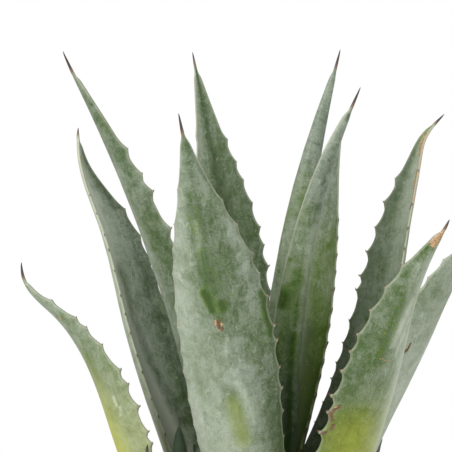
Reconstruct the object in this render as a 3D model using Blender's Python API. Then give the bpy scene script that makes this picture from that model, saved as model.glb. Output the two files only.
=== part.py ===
"""A young century plant (agave) in a plain terracotta pot.

Every leaf is one solid that tapers into its own terminal spine.  The leaves stand round a short stem, two
small offsets rise beside it, and all of them are rooted in the soil that fills the pot.
Units are metres, +Z is up, and the origin is the centre of the pot's foot.  +X is the plant's right and -Y
its front.  Azimuths turn anticlockwise from +X seen from above, so a leaf at 270 degrees leans to the front.
"""

from collections import namedtuple
from math import cos, pi, radians, sin

import bmesh
import bpy
import numpy as np
from mathutils import Matrix, Vector

MM = 0.001

# ---------------------------------------------------------------- pot
POT_HEIGHT = 0.215
POT_RIM_RADIUS = 0.122
POT_BAND_HEIGHT = 0.042
POT_BAND_RADIUS = 0.118
POT_SHOULDER_RADIUS = 0.112
POT_FOOT_RADIUS = 0.080
POT_WALL = 0.008
POT_FLOOR = 0.009
POT_ROUND = 0.003
# the hollow widens in a straight line from its foot to its waist, and in another from there to the rim
HOLLOW_FOOT_RADIUS = POT_FOOT_RADIUS - POT_WALL + 0.002
HOLLOW_WAIST_RADIUS = POT_SHOULDER_RADIUS - POT_WALL + 0.001
HOLLOW_WAIST = POT_HEIGHT - POT_BAND_HEIGHT - 0.004
HOLLOW_RIM_RADIUS = POT_RIM_RADIUS - POT_WALL
POT_SIDES = 48
DRAIN_COUNT = 3
DRAIN_RADIUS = 0.006
DRAIN_CIRCLE = 0.042

# ---------------------------------------------------------------- soil and stem
SOIL_LEVEL = 0.194
SOIL_CROWN = 0.005
GAP = 0.0004
STEM_RADIUS = 0.038
STEM_TOP_RADIUS = 0.007
STEM_ROOT_DEPTH = 0.050
STEM_TOP = 0.298
STEM_SIDES = 24
SPEAR_RADIUS = 0.0085
SPEAR_TOP = 0.505

# ---------------------------------------------------------------- leaf section
STATIONS = 15
ACROSS = 5
MARGIN_THICKNESS = 1.6
SPINE_THICKNESS = 3.4
SPINE_POINT_THICKNESS = 0.9
CLASP = 14

# azimuth: the side of the stem that the leaf grows from, in degrees.
# path: points along the midrib from the stem to the spine's point, each with the blade's full width there;
# all in millimetres.
# cup: the half angle in degrees that the blade curls through across its width, at the stem, in the middle
# and at the tip.
# thick: the blade's thickness at the stem, and spine: the terminal spine's length, in millimetres.
# flare: how the blade may widen below its spine, in millimetres for each millimetre and for each square
# millimetre.
Leaf = namedtuple("Leaf", "name azimuth path cup thick spine flare")

LEAVES = (
    Leaf("leaf_front_centre", 264,
         ((0, -28, 244, 35), (-6, -80, 318, 73), (-19, -125, 412, 90), (-31, -160, 505, 92),
          (-47, -182, 590, 70), (-64, -196, 670, 20), (-74, -202, 719, 0)),
         (60, 30, 32), 15, 18, (0.42, 0.007)),
    Leaf("leaf_back_centre", 98,
         ((-3, 28, 244, 34), (-9, 86, 340, 64), (-19, 118, 460, 80), (-31, 138, 590, 69),
          (-51, 148, 700, 26), (-66, 152, 777, 0)),
         (60, 40, 50), 14, 18, (0.36, 0.002)),
    Leaf("leaf_left", 200,
         ((-25, -3, 260, 28), (-37, -16, 341, 54), (-71, -32, 486, 72), (-108, -48, 598, 63),
          (-151, -60, 699, 34), (-190, -70, 777, 0)),
         (60, 44, 40), 13, 22, (0.31, 0.001)),
    Leaf("leaf_back_left", 145,
         ((-34, 30, 213, 33), (-55, 40, 292, 65), (-84, 52, 383, 84), (-123, 72, 496, 76),
          (-155, 88, 600, 49), (-182, 97, 664, 12), (-186, 101, 697, 0)),
         (60, 44, 40), 15, 10, (0.50, 0.002)),
    Leaf("leaf_low_left", 188,
         ((-44, -10, 212, 34), (-84, -20, 276, 78), (-129, -34, 374, 104), (-160, -42, 458, 88),
          (-200, -46, 517, 38), (-230, -48, 550, 8), (-234, -48, 567, 0)),
         (60, 52, 40), 15, 14, (0.40, 0.004)),
    Leaf("leaf_inner_front", 290,
         ((5, -13, 286, 20), (16, -14, 381, 36), (31, -12, 504, 40), (49, -6, 627, 28), (68, 4, 713, 13),
          (86, 10, 779, 0)),
         (70, 60, 40), 9, 20, (0.25, 0.002)),
    Leaf("leaf_front_right", 303,
         ((22, -16, 268, 22), (27, -48, 378, 40), (33, -64, 491, 38), (51, -76, 601, 28),
          (74, -84, 681, 15), (101, -90, 742, 0)),
         (70, 50, 40), 11, 21, (0.29, 0.002)),
    Leaf("leaf_back_right", 60,
         ((18, 16, 268, 22), (28, 50, 334, 42), (44, 76, 410, 56), (63, 104, 514, 60), (77, 125, 619, 42),
          (96, 138, 709, 0)),
         (60, 44, 40), 13, 18, (0.35, 0.002)),
    Leaf("leaf_long_right", 38,
         ((35, 28, 213, 33), (55, 44, 289, 66), (90, 62, 370, 72), (130, 90, 478, 70), (156, 112, 599, 46),
          (173, 122, 664, 20), (180, 125, 685, 9), (203, 128, 711, 0)),
         (60, 44, 40), 14, 14, (0.30, 0.004)),
    Leaf("leaf_broad_right", 318,
         ((30, -34, 212, 34), (68, -66, 300, 79), (99, -88, 383, 91), (126, -112, 477, 85),
          (151, -128, 557, 43), (184, -138, 616, 0)),
         (60, 40, 40), 15, 9, (0.50, 0.004)),
    Leaf("leaf_far_right", 335,
         ((47, -2, 212, 31), (82, -1, 299, 66), (121, -12, 393, 78), (161, -26, 476, 82),
          (195, -38, 548, 72), (230, -46, 602, 30), (254, -50, 640, 0)),
         (60, 40, 40), 14, 16, (0.40, 0.003)),
    Leaf("leaf_low_back", 95,
         ((0, 46, 212, 34), (-7, 92, 272, 70), (-18, 146, 366, 78), (-34, 178, 462, 58),
          (-44, 192, 530, 22), (-46, 196, 558, 0)),
         (60, 42, 40), 14, 14, (0.42, 0.004)),
    Leaf("leaf_dried", 350,
         ((30, 0, 234, 9), (34, 0, 272, 12), (37, 0, 320, 17), (38, 0, 374, 15), (39, 0, 388, 5),
          (39, 0, 391, 0)),
         (60, 50, 40), 7, 2, (0.50, 0.005)),
    Leaf("leaf_low_front", 260,
         ((-13, -43, 211, 33), (-12, -90, 256, 60), (-14, -136, 300, 60), (-20, -166, 336, 36),
          (-22, -180, 358, 12), (-22, -186, 372, 0)),
         (60, 40, 40), 14, 10, (0.50, 0.005)),
)

OFFSET_LEAVES = (
    Leaf("offset_left_leaf_1", 262,
         ((-56, -74, 200, 14), (-67, -87, 270, 24), (-74, -92, 340, 24), (-76, -92, 392, 13),
          (-76, -92, 418, 0)),
         (60, 42, 40), 6, 6, (0.50, 0.005)),
    Leaf("offset_left_leaf_2", 185,
         ((-70, -66, 200, 14), (-83, -80, 262, 20), (-96, -88, 325, 18), (-104, -90, 368, 8),
          (-107, -90, 390, 0)),
         (60, 42, 40), 6, 5, (0.50, 0.005)),
    Leaf("offset_left_leaf_3", 60,
         ((-50, -62, 200, 13), (-54, -70, 260, 19), (-58, -70, 325, 16), (-61, -70, 366, 8),
          (-62, -70, 388, 0)),
         (60, 42, 40), 6, 5, (0.50, 0.005)),
    Leaf("offset_right_leaf_1", 20,
         ((70, 22, 200, 14), (94, 28, 262, 24), (114, 34, 322, 20), (126, 36, 362, 9), (131, 36, 380, 0)),
         (60, 42, 40), 6, 5, (0.50, 0.005)),
    Leaf("offset_right_leaf_2", 320,
         ((72, 2, 200, 14), (92, -10, 246, 20), (112, -24, 296, 18), (124, -32, 330, 8),
          (129, -34, 348, 0)),
         (60, 42, 40), 6, 5, (0.50, 0.005)),
)


def unit(v):
    return v / np.linalg.norm(v)


def along(values, t):
    """A value given at the stem, in the middle and at the tip, eased between them."""
    low, s = (0, 2 * t) if t < 0.5 else (1, 2 * t - 1)
    return values[low] + (values[low + 1] - values[low]) * s * s * (3 - 2 * s)


def midrib(path, steps=200):
    """The natural cubic spline through the path's rows, as close rows evenly along it, and its length."""
    rows = np.array(path, float)
    n = len(rows)
    span = np.linalg.norm(np.diff(rows[:, :3], axis=0), axis=1)
    knots = np.concatenate([[0], np.cumsum(span)])
    matrix = np.eye(n)
    rises = np.zeros(rows.shape)
    for i in range(1, n - 1):
        matrix[i, i - 1:i + 2] = span[i - 1], 2 * (span[i - 1] + span[i]), span[i]
        rises[i] = 6 * ((rows[i + 1] - rows[i]) / span[i] - (rows[i] - rows[i - 1]) / span[i - 1])
    bend = np.linalg.solve(matrix, rises)
    u = np.linspace(0, knots[-1], steps + 1)
    i = np.clip(np.searchsorted(knots, u, side="right") - 1, 0, n - 2)
    a = ((knots[i + 1] - u) / span[i])[:, None]
    b = 1 - a
    pull = (span[i] ** 2 / 6)[:, None]
    fine = a * rows[i] + b * rows[i + 1] + pull * ((a ** 3 - a) * bend[i] + (b ** 3 - b) * bend[i + 1])
    run = np.concatenate([[0], np.cumsum(np.linalg.norm(np.diff(fine[:, :3], axis=0), axis=1))])
    even = np.linspace(0, run[-1], steps + 1)
    return np.column_stack([np.interp(even, run, fine[:, k]) for k in range(4)]), run[-1]


def leaf_ring(leaf, line, length, t, across=ACROSS):
    """The leaf's outline at a share t of its length, as points in millimetres: its inner face from one margin
    to the other, then its outer face back again."""
    steps = len(line) - 1
    i = min(int(t * steps), steps - 1)
    row = line[i] + (line[i + 1] - line[i]) * (t * steps - i)
    here, width = row[:3], row[3]
    tangent = unit(line[min(i + 4, steps), :3] - line[max(i - 3, 0), :3])
    inward = np.array([-cos(radians(leaf.azimuth)), -sin(radians(leaf.azimuth)), 0.0])
    face = unit(inward - inward.dot(tangent) * tangent)
    side = np.cross(face, tangent)

    blade = 1 - leaf.spine / length
    root_share = min(t / blade, 1.0)
    on_spine = max(0.0, (t - blade) / (1 - blade))
    spine = SPINE_THICKNESS + (SPINE_POINT_THICKNESS - SPINE_THICKNESS) * on_spine
    below = max(0.0, blade - t) * length
    most = SPINE_THICKNESS + leaf.flare[0] * below + leaf.flare[1] * below ** 2
    half = max((max(width, 1) ** -6 + most ** -6) ** (-1 / 6), spine) / 2 if on_spine == 0 else spine / 2
    middle = spine + (leaf.thick - SPINE_THICKNESS) * (1 - root_share) ** 0.9
    margin = min(MARGIN_THICKNESS, middle / 2)
    curl = radians(along(leaf.cup, t))
    radius = half / curl
    inner, outer = [], []
    for u in np.linspace(-1, 1, across):
        angle = u * curl
        point = here + side * radius * sin(angle) + face * radius * (1 - cos(angle))
        up = face * cos(angle) - side * sin(angle)
        inner.append(point)
        outer.append(point - up * (margin + (middle - margin) * (1 - u * u) ** 0.8))
    return inner + outer[::-1]


def leaf_rings(leaf, stations=STATIONS, across=ACROSS):
    line, length = midrib(leaf.path)
    blade = 1 - leaf.spine / length
    shares = [blade * k / (stations - 1) for k in range(stations)] + [blade + (1 - blade) * 0.5, 1.0]
    return [leaf_ring(leaf, line, length, t, across) for t in shares]


def stem_radius(z):
    """The stem's radius at a height: straight in the soil, then narrowing to its top."""
    share = min(max((z - SOIL_LEVEL) / (STEM_TOP - SOIL_LEVEL), 0.0), 1.0)
    return STEM_RADIUS + (STEM_TOP_RADIUS - STEM_RADIUS) * share


def clasped(points, direction):
    """A leaf's first ring drawn back along the leaf's direction until each point meets the stem or soil."""
    ready = []
    for point in points:
        back = 0.0
        while back < CLASP * MM:
            x, y, z = point - direction * (back + MM / 4)
            if (x * x + y * y) ** 0.5 < stem_radius(z) + 3 * GAP or z < SOIL_LEVEL + GAP:
                break
            back += MM / 4
        ready.append(point - direction * back)
    return ready


# ---------------------------------------------------------------- solids
def material(name, colour, roughness):
    finish = bpy.data.materials.new(name)
    finish.use_nodes = True
    shader = finish.node_tree.nodes["Principled BSDF"]
    shader.inputs["Base Color"].default_value = (*colour, 1.0)
    shader.inputs["Roughness"].default_value = roughness
    return finish


def solid(name, bm, finish, sharp=40):
    """The finished object of a closed mesh, smooth over its rounds and crisp at its edges."""
    bmesh.ops.recalc_face_normals(bm, faces=bm.faces)
    bmesh.ops.triangulate(bm, faces=bm.faces)
    mesh = bpy.data.meshes.new(name)
    bm.to_mesh(mesh)
    bm.free()
    mesh.shade_smooth()
    mesh.set_sharp_from_angle(angle=radians(sharp))
    mesh.materials.append(finish)
    thing = bpy.data.objects.new(name, mesh)
    bpy.context.scene.collection.objects.link(thing)
    return thing


def lofted(rings):
    """A closed mesh through rings of points, capped at both ends."""
    bm = bmesh.new()
    rows = [[bm.verts.new(point) for point in ring] for ring in rings]
    for low, high in zip(rows, rows[1:]):
        for k in range(len(low)):
            j = (k + 1) % len(low)
            bm.faces.new((low[k], low[j], high[j], high[k]))
    bm.faces.new(rows[0][::-1])
    bm.faces.new(rows[-1])
    return bm


def lathed(profile, sides):
    """A closed mesh turned about Z from a profile of (radius, height) points whose ends are on the axis."""
    bm = bmesh.new()
    start = bm.verts.new((0, 0, profile[0][1]))
    end = bm.verts.new((0, 0, profile[-1][1]))
    angles = [2 * pi * k / sides for k in range(sides)]
    rows = [[bm.verts.new((r * cos(a), r * sin(a), z)) for a in angles] for r, z in profile[1:-1]]
    for k in range(sides):
        j = (k + 1) % sides
        bm.faces.new((start, rows[0][j], rows[0][k]))
        bm.faces.new((end, rows[-1][k], rows[-1][j]))
        for low, high in zip(rows, rows[1:]):
            bm.faces.new((low[k], low[j], high[j], high[k]))
    return bm


def rounded(corners, steps=3):
    """A profile with each corner (radius, height, round) eased by an arc of the given round."""
    ready = []
    for k, (r, z, round_radius) in enumerate(corners):
        corner = np.array((r, z), float)
        if round_radius == 0:
            ready.append(tuple(corner))
            continue
        before = unit(np.array(corners[k - 1][:2]) - corner)
        after = unit(np.array(corners[k + 1][:2]) - corner)
        half = np.arccos(np.clip(before.dot(after), -1, 1)) / 2
        first, last = (corner + way * round_radius / np.tan(half) for way in (before, after))
        centre = corner + unit(before + after) * round_radius / sin(half)
        for i in range(steps + 1):
            share = i / steps
            point = unit(first * (1 - share) + last * share - centre)
            ready.append(tuple(centre + point * round_radius))
    return ready


def pot():
    """A plain clay pot with a banded rim, its wall one thickness all over, and drain holes in its floor."""
    band = POT_HEIGHT - POT_BAND_HEIGHT
    profile = rounded((
        (0, 0, 0),
        (POT_FOOT_RADIUS, 0, POT_ROUND),
        (POT_SHOULDER_RADIUS, band, POT_ROUND / 2),
        (POT_BAND_RADIUS, band, POT_ROUND),
        (POT_RIM_RADIUS, POT_HEIGHT, POT_ROUND),
        (HOLLOW_RIM_RADIUS, POT_HEIGHT, POT_ROUND),
        (HOLLOW_WAIST_RADIUS, HOLLOW_WAIST, 0),
        (HOLLOW_FOOT_RADIUS, POT_FLOOR, POT_ROUND * 2),
        (0, POT_FLOOR, 0),
    ))
    body = solid("pot", lathed(profile, POT_SIDES), material("terracotta", (0.42, 0.14, 0.06), 0.85))
    holes = bmesh.new()
    for k in range(DRAIN_COUNT):
        turn = 2 * pi * (k + 0.5) / DRAIN_COUNT
        centre = Vector((DRAIN_CIRCLE * cos(turn), DRAIN_CIRCLE * sin(turn), POT_FLOOR / 2))
        bmesh.ops.create_cone(holes, cap_ends=True, segments=16, radius1=DRAIN_RADIUS, radius2=DRAIN_RADIUS,
                              depth=POT_FLOOR * 3, matrix=Matrix.Translation(centre))
    cutter = solid("drain_holes", holes, body.data.materials[0])
    cut = body.modifiers.new("drain_holes", "BOOLEAN")
    cut.operation = "DIFFERENCE"
    cut.solver = "EXACT"
    cut.object = cutter
    graph = bpy.context.evaluated_depsgraph_get()
    pierced = bpy.data.meshes.new_from_object(body.evaluated_get(graph))
    body.modifiers.clear()
    blank = body.data
    body.data = pierced
    bpy.data.meshes.remove(blank)
    pierced.name = "pot"
    blank = cutter.data
    bpy.data.objects.remove(cutter)
    bpy.data.meshes.remove(blank)
    return body


def pot_inside(z):
    """The radius of the pot's inside at a height."""
    low, high = (POT_FLOOR, HOLLOW_FOOT_RADIUS), (HOLLOW_WAIST, HOLLOW_WAIST_RADIUS)
    if z > HOLLOW_WAIST:
        low, high = high, (POT_HEIGHT, HOLLOW_RIM_RADIUS)
    return low[1] + (high[1] - low[1]) * (z - low[0]) / (high[0] - low[0])


def soil():
    """The soil that fills the pot, crowned a little at the middle, with the stem's socket in it."""
    bottom = POT_FLOOR + GAP
    edge = SOIL_LEVEL - SOIL_CROWN
    socket = STEM_RADIUS + GAP
    profile = (
        (0, bottom),
        (pot_inside(bottom) - GAP - POT_ROUND * 2, bottom),
        (pot_inside(bottom + POT_ROUND * 2) - GAP - 0.001, bottom + POT_ROUND * 2),
        (HOLLOW_WAIST_RADIUS - GAP, HOLLOW_WAIST),
        (pot_inside(edge) - GAP, edge),
        (pot_inside(edge) * 0.75, SOIL_LEVEL - SOIL_CROWN * 0.35),
        (socket, SOIL_LEVEL),
        (socket, SOIL_LEVEL - STEM_ROOT_DEPTH - GAP),
        (0, SOIL_LEVEL - STEM_ROOT_DEPTH - GAP),
    )
    return solid("soil", lathed(profile, POT_SIDES), material("potting_soil", (0.05, 0.035, 0.025), 0.95))


def stem():
    """The short stem: a rooted cylinder that narrows above the soil to the growing point."""
    profile = (
        (0, SOIL_LEVEL - STEM_ROOT_DEPTH),
        (STEM_RADIUS * 0.9, SOIL_LEVEL - STEM_ROOT_DEPTH),
        (STEM_RADIUS, SOIL_LEVEL - STEM_ROOT_DEPTH * 0.9),
        (STEM_RADIUS, SOIL_LEVEL),
        (STEM_TOP_RADIUS, STEM_TOP),
        (0, STEM_TOP),
    )
    return solid("stem", lathed(profile, STEM_SIDES), material("stem_bark", (0.16, 0.10, 0.06), 0.8))


def spear():
    """The young leaves still rolled together into one point above the stem."""
    rise = SPEAR_TOP - STEM_TOP
    shares = ((0.0, 0.65), (0.12, 0.92), (0.28, 1.0), (0.5, 0.78), (0.72, 0.45), (0.9, 0.17), (0.98, 0.07))
    base = STEM_TOP + GAP
    profile = [(SPEAR_RADIUS * wide, base + rise * high) for high, wide in shares]
    profile = [(0, base)] + profile + [(0, SPEAR_TOP)]
    return solid("leaf_spear", lathed(profile, 12), material("leaf_spear_skin", (0.20, 0.27, 0.16), 0.5))


def leaf(row, finish, stations=STATIONS):
    rings = [[point * MM for point in ring] for ring in leaf_rings(row, stations)]
    line, _ = midrib(row.path)
    rings[0] = clasped(rings[0], unit(line[4, :3] - line[0, :3]))
    return solid(row.name, lofted(rings), finish, sharp=50)


def main():
    for thing in list(bpy.data.objects):
        bpy.data.objects.remove(thing)
    pot()
    soil()
    stem()
    spear()
    for row in LEAVES:
        leaf(row, material(row.name + "_skin", (0.24, 0.31, 0.21), 0.5))
    for row in OFFSET_LEAVES:
        leaf(row, material(row.name + "_skin", (0.03, 0.07, 0.03), 0.45), stations=9)


if __name__ == "__main__":
    main()
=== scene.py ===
"""Potted agave: the finished look of the plant and its clay pot, over the frame made in CAD.

Each leaf is one closed skin, lofted along its own midrib and ended by its own spine.  Its marks, its bloom
(which also carries painted light and shade), and its margin are painted into the mesh as attributes, which
one waxy skin material reads.  The marginal teeth and the grit on the soil are grown with Geometry Nodes.
Units are metres, +Z is up, and the origin is the centre of the pot's foot.
"""

from collections import namedtuple
from functools import partial
from math import cos, pi, radians, sin

import bmesh
import bpy
import numpy as np
from bpy.props import FloatProperty, FloatVectorProperty, IntProperty, PointerProperty
from mathutils import Matrix, Vector, noise


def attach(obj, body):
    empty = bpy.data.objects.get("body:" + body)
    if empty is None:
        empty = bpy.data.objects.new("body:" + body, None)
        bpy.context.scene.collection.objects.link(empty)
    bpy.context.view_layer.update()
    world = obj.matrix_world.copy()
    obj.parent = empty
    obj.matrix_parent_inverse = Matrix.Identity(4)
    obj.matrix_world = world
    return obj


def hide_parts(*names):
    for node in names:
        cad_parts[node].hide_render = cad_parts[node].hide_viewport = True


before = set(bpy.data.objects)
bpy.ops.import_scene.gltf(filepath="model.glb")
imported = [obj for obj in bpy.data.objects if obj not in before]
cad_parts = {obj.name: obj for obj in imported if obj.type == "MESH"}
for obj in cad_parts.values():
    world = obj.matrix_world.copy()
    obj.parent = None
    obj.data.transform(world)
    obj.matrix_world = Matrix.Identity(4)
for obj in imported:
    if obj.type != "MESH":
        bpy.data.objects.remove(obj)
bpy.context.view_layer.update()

bl_info = {
    "name": "Potted Agave",
    "version": (1, 0, 0),
    "blender": (4, 5, 0),
    "location": "View3D > Sidebar > Agave",
    "description": "Builds the finished look of a potted agave over its CAD frame",
    "category": "Object",
}

MM = 0.001

# ---------------------------------------------------------------- the leaves' shapes
# azimuth: the side of the stem that the leaf grows from, in degrees.
# path: points along the midrib from the stem to the spine's point, each with the blade's full width there;
# all in millimetres.
# cup: the half angle in degrees that the blade curls through across its width, at the stem, in the middle
# and at the tip.  thick: the blade's thickness at the stem, and spine: the terminal spine's length, in
# millimetres.
# flare: how the blade may widen below its spine, in millimetres for each millimetre and each square
# millimetre.
# A row that leaves some of these out has a small offset leaf's.
Leaf = namedtuple("Leaf", "name azimuth path cup thick spine flare",
                  defaults=((60, 42, 40), 6, 5, (0.50, 0.005)))

LEAVES = (
    Leaf("leaf_front_centre", 264,
         ((0, -28, 244, 35), (-6, -80, 318, 73), (-19, -125, 412, 90), (-31, -160, 505, 92),
          (-47, -182, 590, 70), (-64, -196, 670, 20), (-74, -202, 719, 0)),
         (60, 30, 32), 15, 18, (0.42, 0.007)),
    Leaf("leaf_back_centre", 98,
         ((-3, 28, 244, 34), (-9, 86, 340, 64), (-19, 118, 460, 80), (-31, 138, 590, 69),
          (-51, 148, 700, 26), (-66, 152, 777, 0)),
         (60, 40, 50), 14, 18, (0.36, 0.002)),
    Leaf("leaf_left", 200,
         ((-25, -3, 260, 28), (-37, -16, 341, 54), (-71, -32, 486, 72), (-108, -48, 598, 63),
          (-151, -60, 699, 34), (-190, -70, 777, 0)),
         (60, 44, 40), 13, 22, (0.31, 0.001)),
    Leaf("leaf_back_left", 145,
         ((-34, 30, 213, 33), (-55, 40, 292, 65), (-84, 52, 383, 84), (-123, 72, 496, 76),
          (-155, 88, 600, 49), (-182, 97, 664, 12), (-186, 101, 697, 0)),
         (60, 44, 40), 15, 10, (0.50, 0.002)),
    Leaf("leaf_low_left", 188,
         ((-44, -10, 212, 34), (-84, -20, 276, 78), (-129, -34, 374, 104), (-160, -42, 458, 90),
          (-200, -46, 517, 46), (-230, -48, 550, 14), (-234, -48, 567, 0)),
         (60, 52, 40), 15, 14, (0.40, 0.004)),
    Leaf("leaf_inner_front", 290,
         ((5, -13, 286, 20), (16, -14, 381, 36), (31, -12, 504, 40), (49, -6, 627, 28), (68, 4, 713, 13),
          (86, 10, 779, 0)),
         (70, 60, 40), 9, 20, (0.25, 0.002)),
    Leaf("leaf_front_right", 303,
         ((22, -16, 268, 22), (27, -48, 378, 40), (33, -64, 491, 38), (51, -76, 601, 28),
          (74, -84, 681, 15), (101, -90, 742, 0)),
         (70, 50, 40), 11, 21, (0.29, 0.002)),
    Leaf("leaf_back_right", 60,
         ((18, 16, 268, 22), (28, 50, 334, 42), (44, 76, 410, 56), (63, 104, 514, 60), (77, 125, 619, 42),
          (96, 138, 709, 0)),
         (60, 44, 40), 13, 18, (0.35, 0.002)),
    Leaf("leaf_long_right", 38,
         ((35, 28, 213, 33), (55, 44, 289, 66), (90, 62, 370, 72), (130, 90, 478, 70),
          (156, 112, 599, 46), (173, 122, 664, 20), (180, 125, 685, 9), (203, 128, 711, 0)),
         (60, 44, 40), 14, 14, (0.30, 0.004)),
    Leaf("leaf_broad_right", 318,
         ((30, -34, 212, 34), (68, -66, 300, 79), (99, -88, 383, 91), (126, -112, 477, 85),
          (151, -128, 557, 43), (184, -138, 616, 0)),
         (60, 40, 40), 15, 9, (0.50, 0.004)),
    Leaf("leaf_far_right", 335,
         ((47, -2, 212, 31), (82, -1, 299, 66), (121, -12, 393, 78), (161, -26, 476, 82),
          (195, -38, 548, 72), (230, -46, 602, 30), (254, -50, 640, 0)),
         (60, 40, 40), 14, 16, (0.40, 0.003)),
    Leaf("leaf_low_back", 95,
         ((0, 46, 212, 34), (-7, 92, 272, 70), (-18, 146, 366, 78), (-34, 178, 462, 58),
          (-44, 192, 530, 22), (-46, 196, 558, 0)),
         (60, 42, 40), 14, 14, (0.42, 0.004)),
    Leaf("leaf_low_front", 260,
         ((-13, -43, 211, 33), (-12, -90, 256, 60), (-14, -136, 300, 60), (-20, -166, 336, 36),
          (-22, -180, 358, 12), (-22, -186, 372, 0)),
         (60, 40, 40), 14, 10, (0.50, 0.005)),
)

DRIED_LEAF = Leaf("leaf_dried", 350,
                  ((30, 0, 234, 9), (34, 0, 272, 12), (37, 0, 320, 17), (38, 0, 374, 15), (39, 0, 388, 5),
                   (39, 0, 391, 0)),
                  (60, 50, 40), 7, 2)

OFFSET_LEAVES = (
    Leaf("offset_left_leaf_1", 262,
         ((-56, -74, 200, 14), (-67, -87, 270, 24), (-74, -92, 340, 24), (-76, -92, 392, 13),
          (-76, -92, 418, 0)),
         (60, 42, 40), 6, 6),
    Leaf("offset_left_leaf_2", 185,
         ((-70, -66, 200, 14), (-83, -80, 262, 20), (-96, -88, 325, 18), (-104, -90, 368, 8),
          (-107, -90, 390, 0))),
    Leaf("offset_left_leaf_3", 60,
         ((-50, -62, 200, 13), (-54, -70, 260, 19), (-58, -70, 325, 16), (-61, -70, 366, 8),
          (-62, -70, 388, 0))),
    Leaf("offset_right_leaf_1", 20,
         ((70, 22, 200, 14), (94, 28, 262, 24), (114, 34, 322, 20), (126, 36, 362, 9), (131, 36, 380, 0))),
    Leaf("offset_right_leaf_2", 320,
         ((72, 2, 200, 14), (92, -10, 246, 20), (112, -24, 296, 18), (124, -32, 330, 8),
          (129, -34, 348, 0))),
)

# A leaf's seed sets the waves, teeth and patterns that are its own.  The rows of a table count up from its
# first.
LEAF_SEED = 1
OFFSET_SEED = 30
DRIED_SEED = 40
SPEAR_SEED = 50

# Sizes that all the leaves share, in millimetres.
STATION_SPACING = 2.6
DRIED_STATION_SPACING = 2.0
MARGIN_THICKNESS = 1.3
SPINE_THICKNESS = 3.2
SPINE_POINT_THICKNESS = 0.5
SPINE_BLEND = 12
MARGIN_WAVE_LENGTH = 17
RIPPLE_WIDTH = 26
RIPPLE_LENGTH = 60
RIPPLE_HEIGHT = 0.8
CLASP = 16
ROOT_REACH = 2
ROOT_STEP = 0.25
TOOTH_SINK = 0.7

# Shares: how much the waves change a blade's width, how far a tooth strays from even spacing, and how much
# smaller or larger it is than its place would make it.
MARGIN_WAVE = 0.018
TOOTH_STRAY = 0.22
TOOTH_SPREAD = (0.8, 1.15)

# A margin's cusp above and below its tooth: how far it reaches, as a share of the step between teeth, and how
# sharply it fades.  A tooth points this much outwards and this much to the leaf's tip.
CUSP_ABOVE = (0.64, 2.3)
CUSP_BELOW = (0.36, 1.3)
TOOTH_AIM = (0.95, 0.3)

# Numbers of points: across a face of each kind of leaf, along a blade and its spine, and along a midrib,
# with those before and after a place that the midrib's direction there is taken over.
POINTS_ACROSS = 35
OFFSET_POINTS_ACROSS = 15
DRIED_POINTS_ACROSS = 21
FEWEST_STATIONS = 24
SPINE_STATIONS = 10
MIDRIB_STEPS = 400
BEHIND, AHEAD = 6, 8

# ---------------------------------------------------------------- the leaves' skins
# outer and inner: how much pale wax covers that face, from 0 (dark bare flesh) to 1 (thick bloom), as three
# rows from low on the blade to high on it, each across from the left margin to the right.  The levels are
# partly the bloom's own thickness and partly painted light and shade, as noted at the leaves below: low on
# the inner leaves and on the inner faces they fall to zero or below to paint the near-black shade deep in
# the rosette.
# green: how green each of the two faces is, from 0 (blue-grey) to 1.
# flush: how far up the blade the yellow-green reaches, as a share of its length, and how strong it is at
# the left, in the middle and at the right.
# teeth: for the left and then the right margin, the shares of the length of the lowest and the highest
# tooth, the number of teeth, their size and how far the margin stands out to the lowest and to the highest
# of them, in mm.
# edge: how plainly the pale horny line shows on the two margins.  horn: how dark the spine is.
# A leaf that leaves some of these out, or isn't listed, has the plain ones.
SHADED_FACE = ((0.1, 0.1, 0.1), (0.4, 0.3, 0.4), (0.5, 0.4, 0.5))
OPEN_FACE = ((0.4, 0.5, 0.4), (0.6, 0.6, 0.55), (0.6, 0.6, 0.6))
PLAIN_TEETH = ((0.14, 0.80, 14, 0.9, 3, 4), (0.14, 0.80, 13, 0.9, 3, 4))
Skin = namedtuple("Skin", "outer inner green flush teeth edge horn", defaults=(
    OPEN_FACE, SHADED_FACE, (0.4, 0.5), (0.4, (0.3, 0.3, 0.3)), PLAIN_TEETH, (0.4, 0.4), 1.0))

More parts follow.
